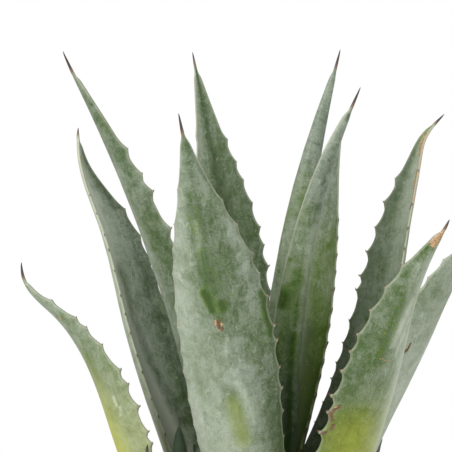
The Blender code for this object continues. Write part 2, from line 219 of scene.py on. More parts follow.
NO_FLUSH = (0.3, (0.0, 0.0, 0.0))
FEW_TEETH = ((0.2, 0.3, 2, 0.2, 0.5, 0.5), (0.2, 0.3, 2, 0.2, 0.5, 0.5))
YOUNG_SKIN = Skin(
    outer=((0.0, 0.05, 0.0), (0.1, 0.2, 0.1), (0.2, 0.4, 0.2)),
    inner=((0.1, 0.1, 0.1), (0.1, 0.2, 0.1), (0.2, 0.3, 0.2)),
    green=(1.0, 1.0), flush=NO_FLUSH, teeth=((0.3, 0.85, 8, 0.3, 0.6, 0.6), (0.3, 0.85, 8, 0.3, 0.6, 0.6)),
    edge=(0.2, 0.2), horn=0.1)
SKINS = {
    "leaf_front_centre": Skin(
        outer=((0.74, 0.86, 0.18), (0.66, 0.36, 0.32), (0.56, 0.30, 0.32)), green=(0.26, 0.4),
        flush=(0.4, (0.1, 0.1, 0.1)),
        teeth=((0.17, 0.855, 14, 0.9, 1.5, 2.2), (0.20, 0.82, 14, 1.15, 0.3, 4.6)), edge=(0.4, 0.44)),
    "leaf_back_centre": Skin(
        inner=((0.1, 0.1, 0.2), (0.26, 0.12, 0.55), (0.38, 0.10, 0.62)), green=(0.4, 0.36),
        flush=NO_FLUSH, teeth=((0.20, 0.82, 16, 0.8, 2.5, 5.0), (0.20, 0.84, 15, 0.6, 2, 3)),
        edge=(0.2, 0.5), horn=0.5),
    "leaf_left": Skin(
        outer=((0.55, 0.40, 0.10), (0.50, 0.56, 0.24), (0.42, 0.48, 0.28)), green=(0.36, 0.5),
        flush=NO_FLUSH, teeth=((0.2, 0.5, 6, 0.5, 1, 1), (0.25, 0.80, 12, 1.0, 4.5, 6.0)),
        edge=(0.3, 0.3)),
    "leaf_back_left": Skin(
        outer=((0.6, 0.6, 0.6), (0.7, 0.8, 0.8), (0.8, 0.9, 0.9)),
        # painted light: the right-hand inner levels past 1 lighten a face that the lamps leave in shade
        inner=((0.2, 0.9, 1.4), (0.22, 0.58, 1.2), (0.16, 0.60, 1.2)), green=(0.6, 0.1),
        flush=(0.5, (0.1, 0.1, 0.2)),
        teeth=((0.16, 0.80, 14, 0.7, 2, 3.5), (0.16, 0.86, 17, 1.2, 1.5, 1.5)), edge=(0.2, 0.6),
        horn=0.4),
    "leaf_low_left": Skin(
        outer=((0.8, 0.75, 0.55), (0.8, 0.66, 0.50), (0.7, 0.60, 0.48)), green=(0.5, 0.3),
        flush=(0.82, (0.8, 1.6, 0.35)),
        teeth=((0.2, 0.62, 8, 0.5, 1, 1), (0.17, 0.87, 15, 1.1, 3.5, 5.0)), edge=(0.3, 0.3), horn=0.9),
    "leaf_inner_front": Skin(
        # the low row near zero is partly painted shade: this leaf's dark foot deep in the rosette
        outer=((0.05, 0.05, 0.05), (0.48, 0.44, 0.4), (0.46, 0.38, 0.42)), green=(0.55, 0.6),
        flush=NO_FLUSH, teeth=FEW_TEETH,
        edge=(0.1, 0.5), horn=0.9),
    "leaf_front_right": Skin(
        # the low row at zero and below is partly painted shade: the dark foot beside leaf_inner_front
        outer=((0.0, -0.05, 0.0), (0.42, 0.24, 0.54), (0.50, 0.38, 0.60)), green=(0.5, 0.6),
        flush=NO_FLUSH, teeth=FEW_TEETH,
        edge=(0.5, 0.5), horn=0.9),
    "leaf_back_right": Skin(
        # the low inner row below zero is partly painted shade: this leaf's near-black foot in the rosette
        inner=((-0.3, -0.4, -0.4), (0.42, 0.20, 0.18), (0.46, 0.44, 0.44)), green=(0.5, 0.9),
        flush=(0.95, (0.2, 0.2, 0.15)), teeth=((0.22, 0.76, 14, 1.5, 4.0, 3.5), (0.2, 0.7, 8, 0.4, 1, 1)),
        edge=(0.2, 0.2), horn=0.8),
    "leaf_long_right": Skin(
        inner=((0.1, 0.1, 0.3), (0.56, 0.52, 0.18), (0.95, 0.70, 0.22)), green=(0.5, 0.4), flush=NO_FLUSH,
        teeth=((0.2, 0.86, 14, 1.3, 1.0, 1.0), (0.19, 0.84, 15, 0.9, -1.5, 6.0)), edge=(0.6, 0.3),
        horn=0.7),
    "leaf_broad_right": Skin(
        outer=((0.30, 0.75, 1.2), (0.22, 0.52, 1.2), (0.36, 0.60, 1.0)), green=(0.50, 0.5),
        flush=(0.64, (0.4, 1.0, 0.2)), teeth=((0.17, 0.86, 15, 1.3, 3.0, 4.0), (0.2, 0.8, 12, 0.6, 1, 1)),
        edge=(0.32, 0.3), horn=0.6),
    "leaf_far_right": Skin(
        outer=((0.8, 0.9, 0.9), (0.62, 0.76, 0.8), (0.36, 0.6, 0.7)), green=(0.3, 0.4),
        flush=(0.4, (0.1, 0.1, 0.1)), teeth=((0.16, 0.86, 16, 0.9, 3, 3.5), (0.2, 0.84, 14, 0.9, 3, 3)),
        edge=(0.5, 0.4), horn=0.9),
}

# Where the columns of outer and inner lie across the blade, from -1 to 1, and their rows along it.
COLUMNS = (-0.7, 0.0, 0.7)
ROWS = (0.28, 0.6, 0.9)

# The marks on each face of a leaf.  A mark is a soft stroke: its kind, its strength, its half width in
# millimetres, and its points as (share of the length, place across from -1 to 1).  rub wears the bloom away
# from the green flesh, the bloom kind is thicker bloom, green is greener skin, fresh is yellow-green, dry is
# tan dead skin and scar is a brown healed crack.  Two bloom strokes are painted light instead, as noted.
MARKS = {
    ("leaf_front_centre", "outer"): (
        ("rub", 0.66, 2.2, ((0.668, -0.25), (0.650, -0.19), (0.628, -0.14))),
        ("rub", 0.66, 3.0, ((0.642, 0.08), (0.635, 0.09))),
        ("rub", 0.24, 7, ((0.83, -0.25), (0.78, -0.28), (0.72, -0.20), (0.66, -0.18))),
        ("rub", 0.12, 12, ((0.79, 0.15), (0.72, 0.10), (0.64, 0.18))),
        ("rub", 0.72, 3.6, ((0.640, 0.95), (0.600, 0.95), (0.565, 0.96))),
        ("rub", 0.30, 4, ((0.52, -0.66), (0.49, -0.63), (0.46, -0.60))),
        ("rub", 0.60, 1.4, ((0.528, 0.06), (0.520, 0.08))),
        ("rub", 0.34, 6, ((0.465, -0.02), (0.41, 0.04), (0.37, 0.08))),
        ("fresh", 0.16, 6, ((0.440, 0.02), (0.41, 0.05), (0.36, 0.10))),
        ("green", 0.9, 6, ((0.450, 0.01), (0.41, 0.05), (0.36, 0.10))),
        ("green", 0.5, 4, ((0.668, -0.25), (0.633, -0.10), (0.633, 0.08))),
        ("green", 0.5, 5, ((0.640, 0.95), (0.565, 0.96))),
        ("cover", 0.26, 2.4, ((0.485, 0.13), (0.455, 0.25), (0.420, 0.32), (0.395, 0.35))),
        ("cover", 0.20, 1.0, ((0.600, -0.05), (0.590, 0.03), (0.575, 0.05), (0.556, 0.00), (0.540, 0.02),
                              (0.523, 0.07), (0.500, 0.10))),
        ("cover", 0.22, 2.5, ((0.80, -0.20), (0.77, -0.16), (0.75, -0.20))),
        ("cover", 0.10, 4, ((0.86, 0.55), (0.78, 0.75), (0.70, 0.80))),
        ("dry", 0.8, 2.7, ((0.608, -0.08), (0.598, -0.04))),
        ("scar", 1.2, 1.5, ((0.613, -0.03), (0.603, -0.06), (0.594, -0.02))),
        ("scar", 0.5, 0.7, ((0.562, 0.00), (0.556, 0.03), (0.552, -0.01))),
    ),
    ("leaf_back_left", "inner"): (
        ("cover", 0.30, 6, ((0.62, 0.60), (0.48, 0.45), (0.36, 0.10), (0.28, -0.10))),
        # painted light: this broad pale stroke lightens the low part of the inner face, as bounced light
        # would
        ("cover", 0.28, 14, ((0.52, 0.80), (0.42, 0.65), (0.33, 0.50))),
        ("cover", -0.26, 6, ((0.70, 0.25), (0.57, 0.12), (0.49, 0.00), (0.36, -0.35))),
        ("dry", 0.50, 2.0, ((0.940, 0.5), (0.900, 0.8), (0.860, 0.9))),
    ),
    ("leaf_low_left", "outer"): (
        ("dry", 0.6, 1.6, ((0.836, 0.52), (0.830, 0.56))),
        ("cover", 0.70, 1.0, ((0.610, 0.66), (0.596, 0.62), (0.580, 0.70), (0.562, 0.66))),
        ("rub", 0.30, 6, ((0.72, 0.45), (0.66, 0.40))),
    ),
    ("leaf_inner_front", "outer"): (
        ("green", -0.8, 32, ((0.98, 0.0), (0.82, 0.0))),
    ),
    ("leaf_front_right", "outer"): (
        ("green", -0.8, 32, ((0.98, 0.0), (0.82, 0.0))),
        ("green", 0.4, 24, ((0.60, -0.4), (0.45, -0.4))),
        # painted highlight: a pale strip along the blade's fold, the bright rim that the white surroundings
        # light
        ("cover", 0.24, 3, ((0.70, 0.06), (0.56, 0.18), (0.40, 0.25), (0.30, 0.28))),
        ("rub", 0.16, 4, ((0.60, -0.30), (0.57, -0.40), (0.54, -0.45))),
        ("rub", 0.50, 5, ((0.56, -0.75), (0.54, -0.80))),
    ),
    ("leaf_back_right", "inner"): (
        ("green", -0.8, 45, ((0.98, 0.0), (0.84, 0.0))),
    ),
    ("leaf_broad_right", "outer"): (
        ("dry", 0.90, 3.4, ((0.985, -0.3), (0.962, -0.4), (0.938, -0.45))),
        ("cover", 0.30, 3.5, ((0.80, 0.10), (0.76, 0.02), (0.70, -0.10))),
        ("cover", 0.30, 1.0, ((0.76, 0.28), (0.70, 0.10), (0.66, 0.02))),
        ("rub", 0.35, 6, ((0.80, -0.30), (0.74, -0.35), (0.66, -0.40))),
        ("scar", 1.2, 1.1, ((0.548, -0.86), (0.532, -0.93), (0.512, -0.97), (0.495, -0.88),
                            (0.470, -0.94))),
        ("dry", 1.0, 1.5, ((0.540, -0.92), (0.524, -0.96))),
        ("fresh", 0.40, 26, ((0.480, -0.35), (0.300, -0.35))),
        ("cover", -0.20, 22, ((0.490, -0.25), (0.400, -0.25))),
        ("green", 0.40, 24, ((0.490, -0.25), (0.400, -0.25))),
        ("dry", 0.6, 1.0, ((0.645, -0.40), (0.640, -0.36))),
        ("dry", 0.6, 1.5, ((0.672, -0.34), (0.664, -0.22), (0.66, -0.1))),
    ),
    ("leaf_far_right", "outer"): (
        ("scar", 1.0, 1.5, ((0.624, -0.60), (0.611, -0.60), (0.600, -0.64))),
    ),
    ("leaf_long_right", "inner"): (
        ("dry", 0.7, 3.5, ((0.945, -0.9), (0.91, -0.90), (0.85, -0.90), (0.80, -0.92))),
        ("dry", 1.0, 5.5, ((0.930, -0.9), (0.905, -0.95))),
        ("dry", 0.9, 5.5, ((0.865, -0.9), (0.835, -0.90))),
        ("scar", 1.0, 1.6, ((0.800, -0.8), (0.789, -0.70))),
        ("scar", 1.0, 1.5, ((0.736, -0.9), (0.720, -0.80))),
        ("fresh", 0.3, 2.0, ((0.785, -0.8), (0.740, -0.85))),
        ("green", 0.9, 14, ((0.990, 0.0), (0.960, 0.0))),
        ("fresh", 0.10, 14, ((0.990, 0.0), (0.960, 0.0))),
    ),
    ("leaf_long_right", "outer"): (
        ("dry", 0.7, 2.5, ((0.955, -0.9), (0.91, -0.94), (0.85, -0.96), (0.80, -0.97))),
    ),
}

# How a mark fades: the shares of its half width where it is gone and where it is full.
CRISP = (1.4, 0.6)
SOFT = (2.0, 0.0)

# How worn the bloom is everywhere, before the marks (more of it shows as more bare patches), the share of a
# rub that also thins the bloom, and how much of the yellow-green shows on the inner face.
WORN = 0.1
THINNED = 0.35
INNER_FLUSH = 0.3

# The pale line at the margin, in millimetres from it, and the brown stain round a tooth's foot: where each
# is gone and where it is full.  HORN_BELOW is how far the horn runs on down the blade from its spine.
EDGE_LINE = (2.0, 0.4)
TOOTH_STAIN = (2.2, 0.8)
HORN_BELOW = 7

# What is painted into a leaf's mesh, beside its flat coordinates.
SKIN_PAINT = ("cover", "green", "rub", "fresh", "dry", "scar", "edge", "horn")

# ---------------------------------------------------------------- the pot, the soil and the stem, in metres
POT_HEIGHT = 0.215
POT_RIM_RADIUS = 0.122
POT_BAND_HEIGHT = 0.042
POT_BAND_RADIUS = 0.118
POT_SHOULDER_RADIUS = 0.112
POT_FOOT_RADIUS = 0.080
POT_WALL = 0.008
POT_FLOOR = 0.009
POT_ROUND = 0.003
POT_SHOULDER = POT_HEIGHT - POT_BAND_HEIGHT
# Inside, the pot is a cone up to its waist, a little below the shoulder, and a wider one above it.
POT_WAIST = POT_SHOULDER - 0.004
POT_WAIST_RADIUS = POT_SHOULDER_RADIUS - POT_WALL + 0.001
POT_FLOOR_RADIUS = POT_FOOT_RADIUS - POT_WALL + 0.002
# The hand of the thrower: broad dents, faint wheel rings, and how far both are let into the wall.
POT_DENT = 0.00022
POT_DENT_SIZE_MM = 45
POT_INSET = 0.0002
WHEEL_RING = 0.00008
WHEEL_RING_SPACING = 0.0055
DRAIN_COUNT = 3
DRAIN_RADIUS = 0.006
DRAIN_CIRCLE = 0.042
SOIL_LEVEL = 0.194
SOIL_CROWN = 0.005
# The soil's crumbs, as (height, size across in millimetres, the shift that sets its noise apart).
SOIL_CRUMBS = ((0.0011, 14, 0.0), (0.0009, 5, 9.0), (0.0005, 2.5, 4.0))
STEM_RADIUS = 0.038
STEM_TOP_RADIUS = 0.007
STEM_ROOT_DEPTH = 0.050
STEM_TOP = 0.298
STEM_SOCKET = STEM_RADIUS - 0.0015
# The torn feet of old leaves on the stem: how deep they are, and how far apart in millimetres.
LEAF_SCAR_DEPTH = 0.0012
LEAF_SCAR_SPACING_MM = 9
STEM_ROUGHNESS = 0.0006
STEM_BUMP_SIZE_MM = 3
SPEAR_RADIUS = 0.0085
SPEAR_TOP = 0.505
SPEAR_FOOT = STEM_TOP - 0.002
SPEAR_HORN = 0.02
# The outer edge wound round the spear: how far it stands out, as a share of the radius, and how many turns it
# makes from the foot to the top.  SPEAR_CUT is the share of the height where the point is closed.
SPEAR_LAP = 0.10
SPEAR_TURNS = 0.8
SPEAR_CUT = 0.985
# The spear's outline, as (share of its height, share of its radius).
SPEAR_OUTLINE = ((0.0, 0.65), (0.12, 0.92), (0.28, 1.0), (0.5, 0.78), (0.72, 0.45), (0.9, 0.17),
                 (0.98, 0.07))
CLEARANCE = 0.0004

# The longest steps of a profile, and how many sides each turned shape has.
POT_STEP = 0.006
FINE_STEP = 0.0022
ARC_STEPS = 6
POT_SIDES = 128
DRAIN_SIDES = 32
SOIL_SIDES = 160
STEM_SIDES = 96
SPEAR_SIDES = 32
SPEAR_RINGS = 70

# ---------------------------------------------------------------- the stage, in metres and degrees
FLOOR_RADIUS = 2.0
FLOOR_SIDES = 96
KEY_PLACE = (-1.3, -2.2, 2.0)
KEY_SIZE = 1.4
FILL_PLACE = (2.2, -1.4, 1.4)
FILL_SIZE = 2.0
AIM = Vector((-0.030, 0, 0.600))
CAMERA_DISTANCE = 2.4
CAMERA_PITCH = 4.0
CAMERA_RANGE = 50
SENSOR_MM = 36
VIEW_WIDTH = 0.46


# ---------------------------------------------------------------- sizes and colours that a user would change
def linear(code):
    """The linear colour of an sRGB hex value."""
    parts = [int(code[k:k + 2], 16) / 255 for k in (1, 3, 5)]
    return tuple(v / 12.92 if v <= 0.04045 else ((v + 0.055) / 1.055) ** 2.4 for v in parts)


def colour_property(name, description, code):
    return FloatVectorProperty(name=name, description=description, subtype="COLOR", size=3, min=0, max=1,
                               default=linear(code))


class LeafLook(bpy.types.PropertyGroup):
    grey_bloom: colour_property("Grey bloom", "Thick pale wax on a blue-grey face", "#B4BCAB")
    green_bloom: colour_property("Green bloom", "Thick pale wax on a green face", "#AFBAA2")
    grey_skin: colour_property("Grey skin", "Thin wax on a blue-grey face", "#768270")
    # the two flesh colours are partly bare flesh and partly painted shade: they are dark enough to paint the
    # near-black shade deep in the rosette, where the bloom level falls to nothing
    grey_flesh_and_shade: colour_property("Grey flesh", "Blue-grey face with no wax", "#242E1C")
    green_skin: colour_property("Green skin", "Thin wax on a green face", "#72815C")
    green_flesh_and_shade: colour_property("Green flesh", "Green face with no wax", "#27440A")
    flush: colour_property("Flush", "Yellow-green towards the foot of the low leaves", "#B2B632")
    margin: colour_property("Margin", "Thin horny line along the margin", "#C2C4AC")
    dead: colour_property("Dead skin", "Dried patches", "#CBA77A")
    scar: colour_property("Scar", "Healed cracks", "#402A14")
    spine: colour_property("Spine", "Terminal spine", "#483632")
    young_bloom: colour_property("Young bloom", "Offset leaves, lighter parts", "#233F1B")
    young_flesh: colour_property("Young flesh", "Offset leaves, darker parts", "#0C1C08")
    husk: colour_property("Husk", "Dried leaf", "#855B3A")


class ToothLook(bpy.types.PropertyGroup):
    length: FloatProperty(name="Length", description="How far a tooth stands out from the margin",
                          default=0.0030, min=0.001, unit="LENGTH")
    width: FloatProperty(name="Width", description="Half of the length of a tooth's foot along the margin",
                         default=0.0014, min=0.0005, unit="LENGTH")
    horn: colour_property("Horn", "Hooked tip of a tooth", "#6E4436")
    foot: colour_property("Foot", "Foot of a tooth, where it leaves the margin", "#8B9478")
    seed: IntProperty(name="Seed", description="Seed for the spread of sizes", default=7)


class PotLook(bpy.types.PropertyGroup):
    clay: colour_property("Clay", "Fired terracotta", "#B46B49")
    lime: colour_property("Lime", "Pale salts dried on the clay", "#CFA78C")
    damp: colour_property("Damp", "Darker, damper clay", "#8E4E33")


class SoilLook(bpy.types.PropertyGroup):
    peat: colour_property("Peat", "Dark body of the mix", "#33251B")
    bark: colour_property("Bark", "Bark chips", "#5A3D28")
    pumice: colour_property("Pumice", "Pale grit", "#B7AE9F")
    grains: FloatProperty(name="Grains", description="Grains on a square metre of soil", default=42000,
                          min=0)
    grain: FloatProperty(name="Grain", description="Mean size of a grain", default=0.0034, min=0.0005,
                         unit="LENGTH")
    seed: IntProperty(name="Seed", description="Seed for the scatter", default=3)


class StageLook(bpy.types.PropertyGroup):
    floor: colour_property("Floor", "Pale floor", "#F4F4F2")
    tone: colour_property("Tone", "Colour of the surroundings' light", "#FFFFFF")
    air: FloatProperty(name="Air", description="Brightness of the surroundings' light", default=0.58, min=0)
    key: FloatProperty(name="Key", description="Power of the large soft key light", default=62, min=0,
                       unit="POWER")
    fill: FloatProperty(name="Fill", description="Power of the soft fill light", default=20, min=0,
                        unit="POWER")


# ---------------------------------------------------------------- nodes
# Each kind of node is its type, and after it the settings that it always has here.  WEIGHED is the first
# value times the second, plus the third.
WEIGHED, PRODUCT, SUM, DIFFERENCE, RATIO, POWER, ROOT, LARGER, ABOVE, BELOW = (
    "ShaderNodeMath operation=" + name for name in (
        "MULTIPLY_ADD", "MULTIPLY", "ADD", "SUBTRACT", "DIVIDE", "POWER", "SQRT", "MAXIMUM", "GREATER_THAN",
        "LESS_THAN"))
MIX = "ShaderNodeMix data_type=RGBA"
RANGE = "ShaderNodeMapRange"
EASED = "ShaderNodeMapRange interpolation_type=SMOOTHSTEP"
RAMP = "ShaderNodeValToRGB"
NOISE = "ShaderNodeTexNoise"
MAPPING = "ShaderNodeMapping"
ATTRIBUTE = "ShaderNodeAttribute"
COORDINATES = "ShaderNodeTexCoord"
BUMP = "ShaderNodeBump"
SURFACE = "ShaderNodeBsdfPrincipled"
OUTPUT = "ShaderNodeOutputMaterial"
BACKGROUND = "ShaderNodeBackground"
JOIN = "ShaderNodeCombineXYZ"
SPLIT = "ShaderNodeSeparateXYZ"
SCALED = "ShaderNodeVectorMath operation=SCALE"
CHANCE = "FunctionNodeRandomValue data_type=FLOAT"
ALIGN = "FunctionNodeAlignRotationToVector"
TURN = "FunctionNodeEulerToRotation"
PLACE = "GeometryNodeInputPosition"
MOVE = "GeometryNodeSetPosition"
READ = "GeometryNodeInputNamedAttribute"
WRITE = "GeometryNodeStoreNamedAttribute data_type=FLOAT"
COPIES = "GeometryNodeInstanceOnPoints"


def add(tree, kind, *values, out=0, stops=(), **named):
    """Add a node and give one of its outputs, by place or name.  Each value goes to the next open input,
    and is a constant or another node's output.  Of the named ones, those in lower case are the node's own
    settings and the others are inputs.  stops are a ramp's, as (place, colour)."""
    kind, *settings = kind.split()
    named.update(setting.split("=") for setting in settings)
    node = tree.nodes.new(kind)
    for key, value in named.items():
        if key[0].islower():
            setattr(node, key, value)
    links = list(zip([socket for socket in node.inputs if socket.enabled], values))
    links += [(node.inputs[key.replace("_", " ")], value) for key, value in named.items()
              if key[0].isupper()]
    for socket, value in links:
        if isinstance(value, bpy.types.NodeSocket):
            tree.links.new(value, socket)
        else:
            socket.default_value = (*value, 1.0) if socket.type == "RGBA" else value
    if stops:
        elements = node.color_ramp.elements
        elements.remove(elements[1])
        for k, (place, colour) in enumerate(stops):
            element = elements[0] if k == 0 else elements.new(place)
            element.position = place
            element.color = (*colour, 1.0)
    ready = [socket for socket in node.outputs if socket.enabled] if isinstance(out, int) else node.outputs
    return ready[out] if len(ready) else None


def blank_material(name):
    """An empty material, and add() bound to its node tree."""
    finish = bpy.data.materials.new(name)
    finish.use_nodes = True
    finish.node_tree.nodes.clear()
    return finish, partial(add, finish.node_tree)


# ---------------------------------------------------------------- finishes
# A pattern's Scale is 1000 over its size in millimetres.
def waxy_skin(name, grey, green, look):
    """Agave leaf skin, grown: a waxy cuticle over fleshy green.  The eye gets a powdery grey-green bloom,
    worn thin in soft blotches where greener flesh shows, a few pale wisps along the blade, a horny line
    along the margin, and a spine that darkens to its point.  grey and green are ramps from bare flesh to
    thick bloom."""
    finish, node = blank_material(name)
    blade = node(ATTRIBUTE, attribute_name="blade", out="Vector")
    paint = {key: node(ATTRIBUTE, attribute_name=key, out="Fac") for key in SKIN_PAINT}
    # each pattern: its size across the blade in millimetres, its stretch (below 1 it is drawn out along the
    # blade), its detail, its roughness and its swirl; all of them swing about zero
    swing = {}
    for key, size, stretch, detail, rough, swirl in (
            ("clouds", 38, 0.5, 3, 0.5, 0.3), ("blotches", 12, 0.8, 5, 0.62, 0.6),
            ("flecks", 4, 0.8, 4, 0.65, 1.2), ("streaks", 2.4, 0.12, 3, 0.6, 0.3),
            ("powder", 1.4, 1.0, 2, 0.7, 0.0), ("wisps", 9, 0.5, 5, 0.6, 1.6)):
        stretched = node(MAPPING, blade, Scale=(1.0, stretch, 1.0))
        pattern = node(NOISE, stretched, Scale=1000 / size, Detail=detail, Roughness=rough,
                       Distortion=swirl)
        swing[key] = node(DIFFERENCE, pattern, 0.5)

    # where the bloom is rubbed off
    worn = node(WEIGHED, swing["blotches"], 1.6, paint["rub"])
    worn = node(WEIGHED, swing["flecks"], 1.7, worn)
    worn = node(EASED, worn, 0.32, 0.66)
    # how thick it is elsewhere, with the painted shade and light that the same level holds
    wisps = node(RANGE, swing["wisps"], 0.12, 0.16, 0.0, 0.13)
    cover = node(SUM, paint["cover"], wisps)
    for key, weight in (("clouds", 0.40), ("blotches", 0.70), ("flecks", 0.50), ("streaks", 0.26),
                        ("powder", 0.34)):
        cover = node(WEIGHED, swing[key], weight, cover)
    cover = node(WEIGHED, worn, -0.20, cover, use_clamp=True)
    # how green the skin is
    leafy = node(WEIGHED, swing["clouds"], -0.9, paint["green"])
    leafy = node(WEIGHED, swing["blotches"], -1.1, leafy)
    leafy = node(WEIGHED, worn, 0.7, leafy, use_clamp=True)
    skin = node(MIX, leafy, node(RAMP, cover, stops=grey), node(RAMP, cover, stops=green))
    # the yellow-green flush
    flush = node(WEIGHED, swing["blotches"], 0.9, 1.0)
    flush = node(PRODUCT, flush, paint["fresh"])
    flush = node(WEIGHED, worn, 0.03, flush, use_clamp=True)
    skin = node(MIX, flush, skin, look.flush)

    # dried patches and healed scars, both of them crumbly
    crumb = node(RANGE, swing["powder"], -0.12, 0.12)
    dead = node(WEIGHED, swing["flecks"], 2.4, paint["dry"])
    dead = node(EASED, dead, 0.40, 0.60)
    husk = node(WEIGHED, crumb, 0.7, 0.3)
    husk = node(MIX, husk, look.scar, look.dead)
    skin = node(MIX, dead, skin, husk)
    scar = node(WEIGHED, swing["powder"], 1.4, paint["scar"])
    scar = node(EASED, scar, 0.40, 0.65)
    crust = node(PRODUCT, crumb, 0.25)
    crust = node(MIX, crust, look.scar, look.dead)
    skin = node(MIX, scar, skin, crust)
    # the horny line along the margin, and the spine
    edge = node(WEIGHED, swing["streaks"], 1.2, 1.0)
    edge = node(PRODUCT, edge, paint["edge"], use_clamp=True)
    skin = node(MIX, edge, skin, look.margin)
    horn = node(RAMP, paint["horn"], stops=((0.0, linear("#9C8E68")), (0.22, linear("#7C6850")),
                                            (0.42, look.spine), (1.0, linear("#2A201C"))))
    tip = node(EASED, paint["horn"], 0.10, 0.28)
    skin = node(MIX, tip, skin, horn)

    height = node(WEIGHED, swing["streaks"], 0.6, swing["blotches"])
    for layer, weight in ((worn, -0.15), (scar, -0.6), (dead, -0.3), (swing["powder"], 0.15)):
        height = node(WEIGHED, layer, weight, height)
    relief = node(BUMP, Height=height, Strength=0.45, Distance=0.0008)
    gloss = node(WEIGHED, cover, 0.18, 0.42)
    node(OUTPUT, node(SURFACE, skin, Roughness=gloss, IOR=1.45, Normal=relief))
    return finish


def grown_leaf_skin(look):
    """The skin of the grown leaves, made once: blue-grey where it is most waxy, and green beneath."""
    name = "waxy_leaf_skin"
    # the ramps start at the flesh colours, which also paint the shade at the foot of the leaves
    grey = ((0.0, look.grey_flesh_and_shade), (0.22, linear("#4A5642")), (0.45, look.grey_skin),
            (1.0, look.grey_bloom))
    green = ((0.0, look.green_flesh_and_shade), (0.22, linear("#48661F")), (0.45, look.green_skin),
             (1.0, look.green_bloom))
    return bpy.data.materials.get(name) or waxy_skin(name, grey, green, look)


def tooth_horn(look):
    """Agave tooth, grown: horn that is leaf-green where it leaves the margin and dark red-brown at its
    hooked tip."""
    finish, node = blank_material("tooth_horn")
    horn = node(ATTRIBUTE, attribute_name="horn", out="Fac")
    colour = node(RAMP, horn, stops=((0.0, look.foot), (0.22, look.foot), (0.5, look.horn),
                                     (1.0, linear("#3E2B27"))))
    node(OUTPUT, node(SURFACE, colour, Roughness=0.42, IOR=1.5))
    return finish


def husk_skin(look):
    """Dead agave leaf, dried on the plant: papery brown, fibrous along its length, matt."""
    finish, node = blank_material("dried_leaf_husk")
    blade = node(ATTRIBUTE, attribute_name="blade", out="Vector")
    drawn_out = node(MAPPING, blade, Scale=(1.0, 0.08, 1.0))
    fibres = node(NOISE, drawn_out, Scale=1000 / 2.5, Detail=4, Roughness=0.6)
    stains = node(NOISE, blade, Scale=1000 / 14, Detail=4, Roughness=0.6)
    colour = node(RAMP, stains, stops=((0.3, linear("#3A2415")), (0.6, look.husk),
                                       (0.8, linear("#B58A5C"))))
    relief = node(BUMP, Height=fibres, Strength=0.8, Distance=0.001)
    node(OUTPUT, node(SURFACE, colour, Roughness=0.85, Normal=relief))
    return finish


def fired_clay(look):
    """Terracotta, thrown and fired unglazed: warm matt clay, mottled, with pale dried salts below the rim
    and at the foot, and fine pits."""
    finish, node = blank_material("fired_terracotta")
    place = node(COORDINATES, out="Object")
    clouds = node(NOISE, place, Scale=1000 / 45, Detail=4, Roughness=0.6)
    mottle = node(NOISE, place, Scale=1000 / 7, Detail=5, Roughness=0.65)
    pits = node(NOISE, place, Scale=1000 / 0.9, Detail=2, Roughness=0.6)
    round_it = node(MAPPING, place, Scale=(0.06, 0.06, 1.0))
    rings = node(NOISE, round_it, Scale=1000 / 6, Detail=3, Roughness=0.6)
    clay = node(RAMP, mottle, stops=((0.3, look.damp), (0.52, look.clay), (0.75, linear("#C58560"))))
    height = node(SPLIT, place, out="Z")
    foot = node(RANGE, height, 0.055, 0.0)
    rim = node(RANGE, height, 0.150, 0.185)
    salts = node(WEIGHED, node(LARGER, foot, rim), 0.22, clouds)
    salts = node(EASED, salts, 0.52, 0.85, 0.0, 0.75)
    colour = node(MIX, salts, clay, look.lime)
    relief = node(WEIGHED, rings, 0.8, pits)
    relief = node(BUMP, Height=relief, Strength=0.5, Distance=0.0006)
    node(OUTPUT, node(SURFACE, colour, Roughness=0.86, Normal=relief))
    return finish


def potting_mix(look):
    """Potting mix, damp and crumbly: near-black brown peat with lighter fibres."""
    finish, node = blank_material("gritty_potting_mix")
    place = node(COORDINATES, out="Object")
    crumbs = node(NOISE, place, Scale=1000 / 4, Detail=5, Roughness=0.7)
    fine = node(NOISE, place, Scale=1000 / 1.2, Detail=2, Roughness=0.7)
    colour = node(RAMP, crumbs, stops=((0.3, linear("#17100B")), (0.55, look.peat), (0.75, look.bark)))
    relief = node(WEIGHED, fine, 0.5, crumbs)
    relief = node(BUMP, Height=relief, Strength=1.0, Distance=0.002)
    node(OUTPUT, node(SURFACE, colour, Roughness=0.95, Normal=relief))
    return finish


def loose_grit(look):
    """Bark chips, pumice and gravel, crushed: each grain its own colour, rough and matt."""
    finish, node = blank_material("bark_and_pumice_grit")
    tint = node(ATTRIBUTE, attribute_name="tint", out="Fac")
    colour = node(RAMP, tint, stops=((0.0, look.peat), (0.35, look.bark), (0.62, linear("#7A5A3E")),
                                     (0.78, linear("#8D8578")), (0.88, look.pumice)))
    colour.node.color_ramp.interpolation = "CONSTANT"
    pores = node(NOISE, node(COORDINATES, out="Object"), Scale=1000 / 1.0, Detail=3, Roughness=0.7)
    relief = node(BUMP, Height=pores, Strength=0.7, Distance=0.0006)
    node(OUTPUT, node(SURFACE, colour, Roughness=0.9, Normal=relief))
    return finish


def stem_fibre(look):
    """Agave stem, grown: fibrous tan and brown, torn in rings where old leaves came away."""
    finish, node = blank_material("fibrous_stem")
    place = node(COORDINATES, out="Object")
    upright = node(MAPPING, place, Scale=(1.0, 1.0, 0.2))
    fibres = node(NOISE, upright, Scale=1000 / 3, Detail=4, Roughness=0.65)
    round_it = node(MAPPING, place, Scale=(0.3, 0.3, 1.0))
    rings = node(NOISE, round_it, Scale=1000 / 8, Detail=4, Roughness=0.6)
    colour = node(RAMP, rings, stops=((0.3, linear("#2B1D13")), (0.5, look.husk),
                                      (0.72, linear("#8A7350"))))
    relief = node(BUMP, Height=fibres, Strength=0.9, Distance=0.0012)
    node(OUTPUT, node(SURFACE, colour, Roughness=0.85, Normal=relief))
    return finish


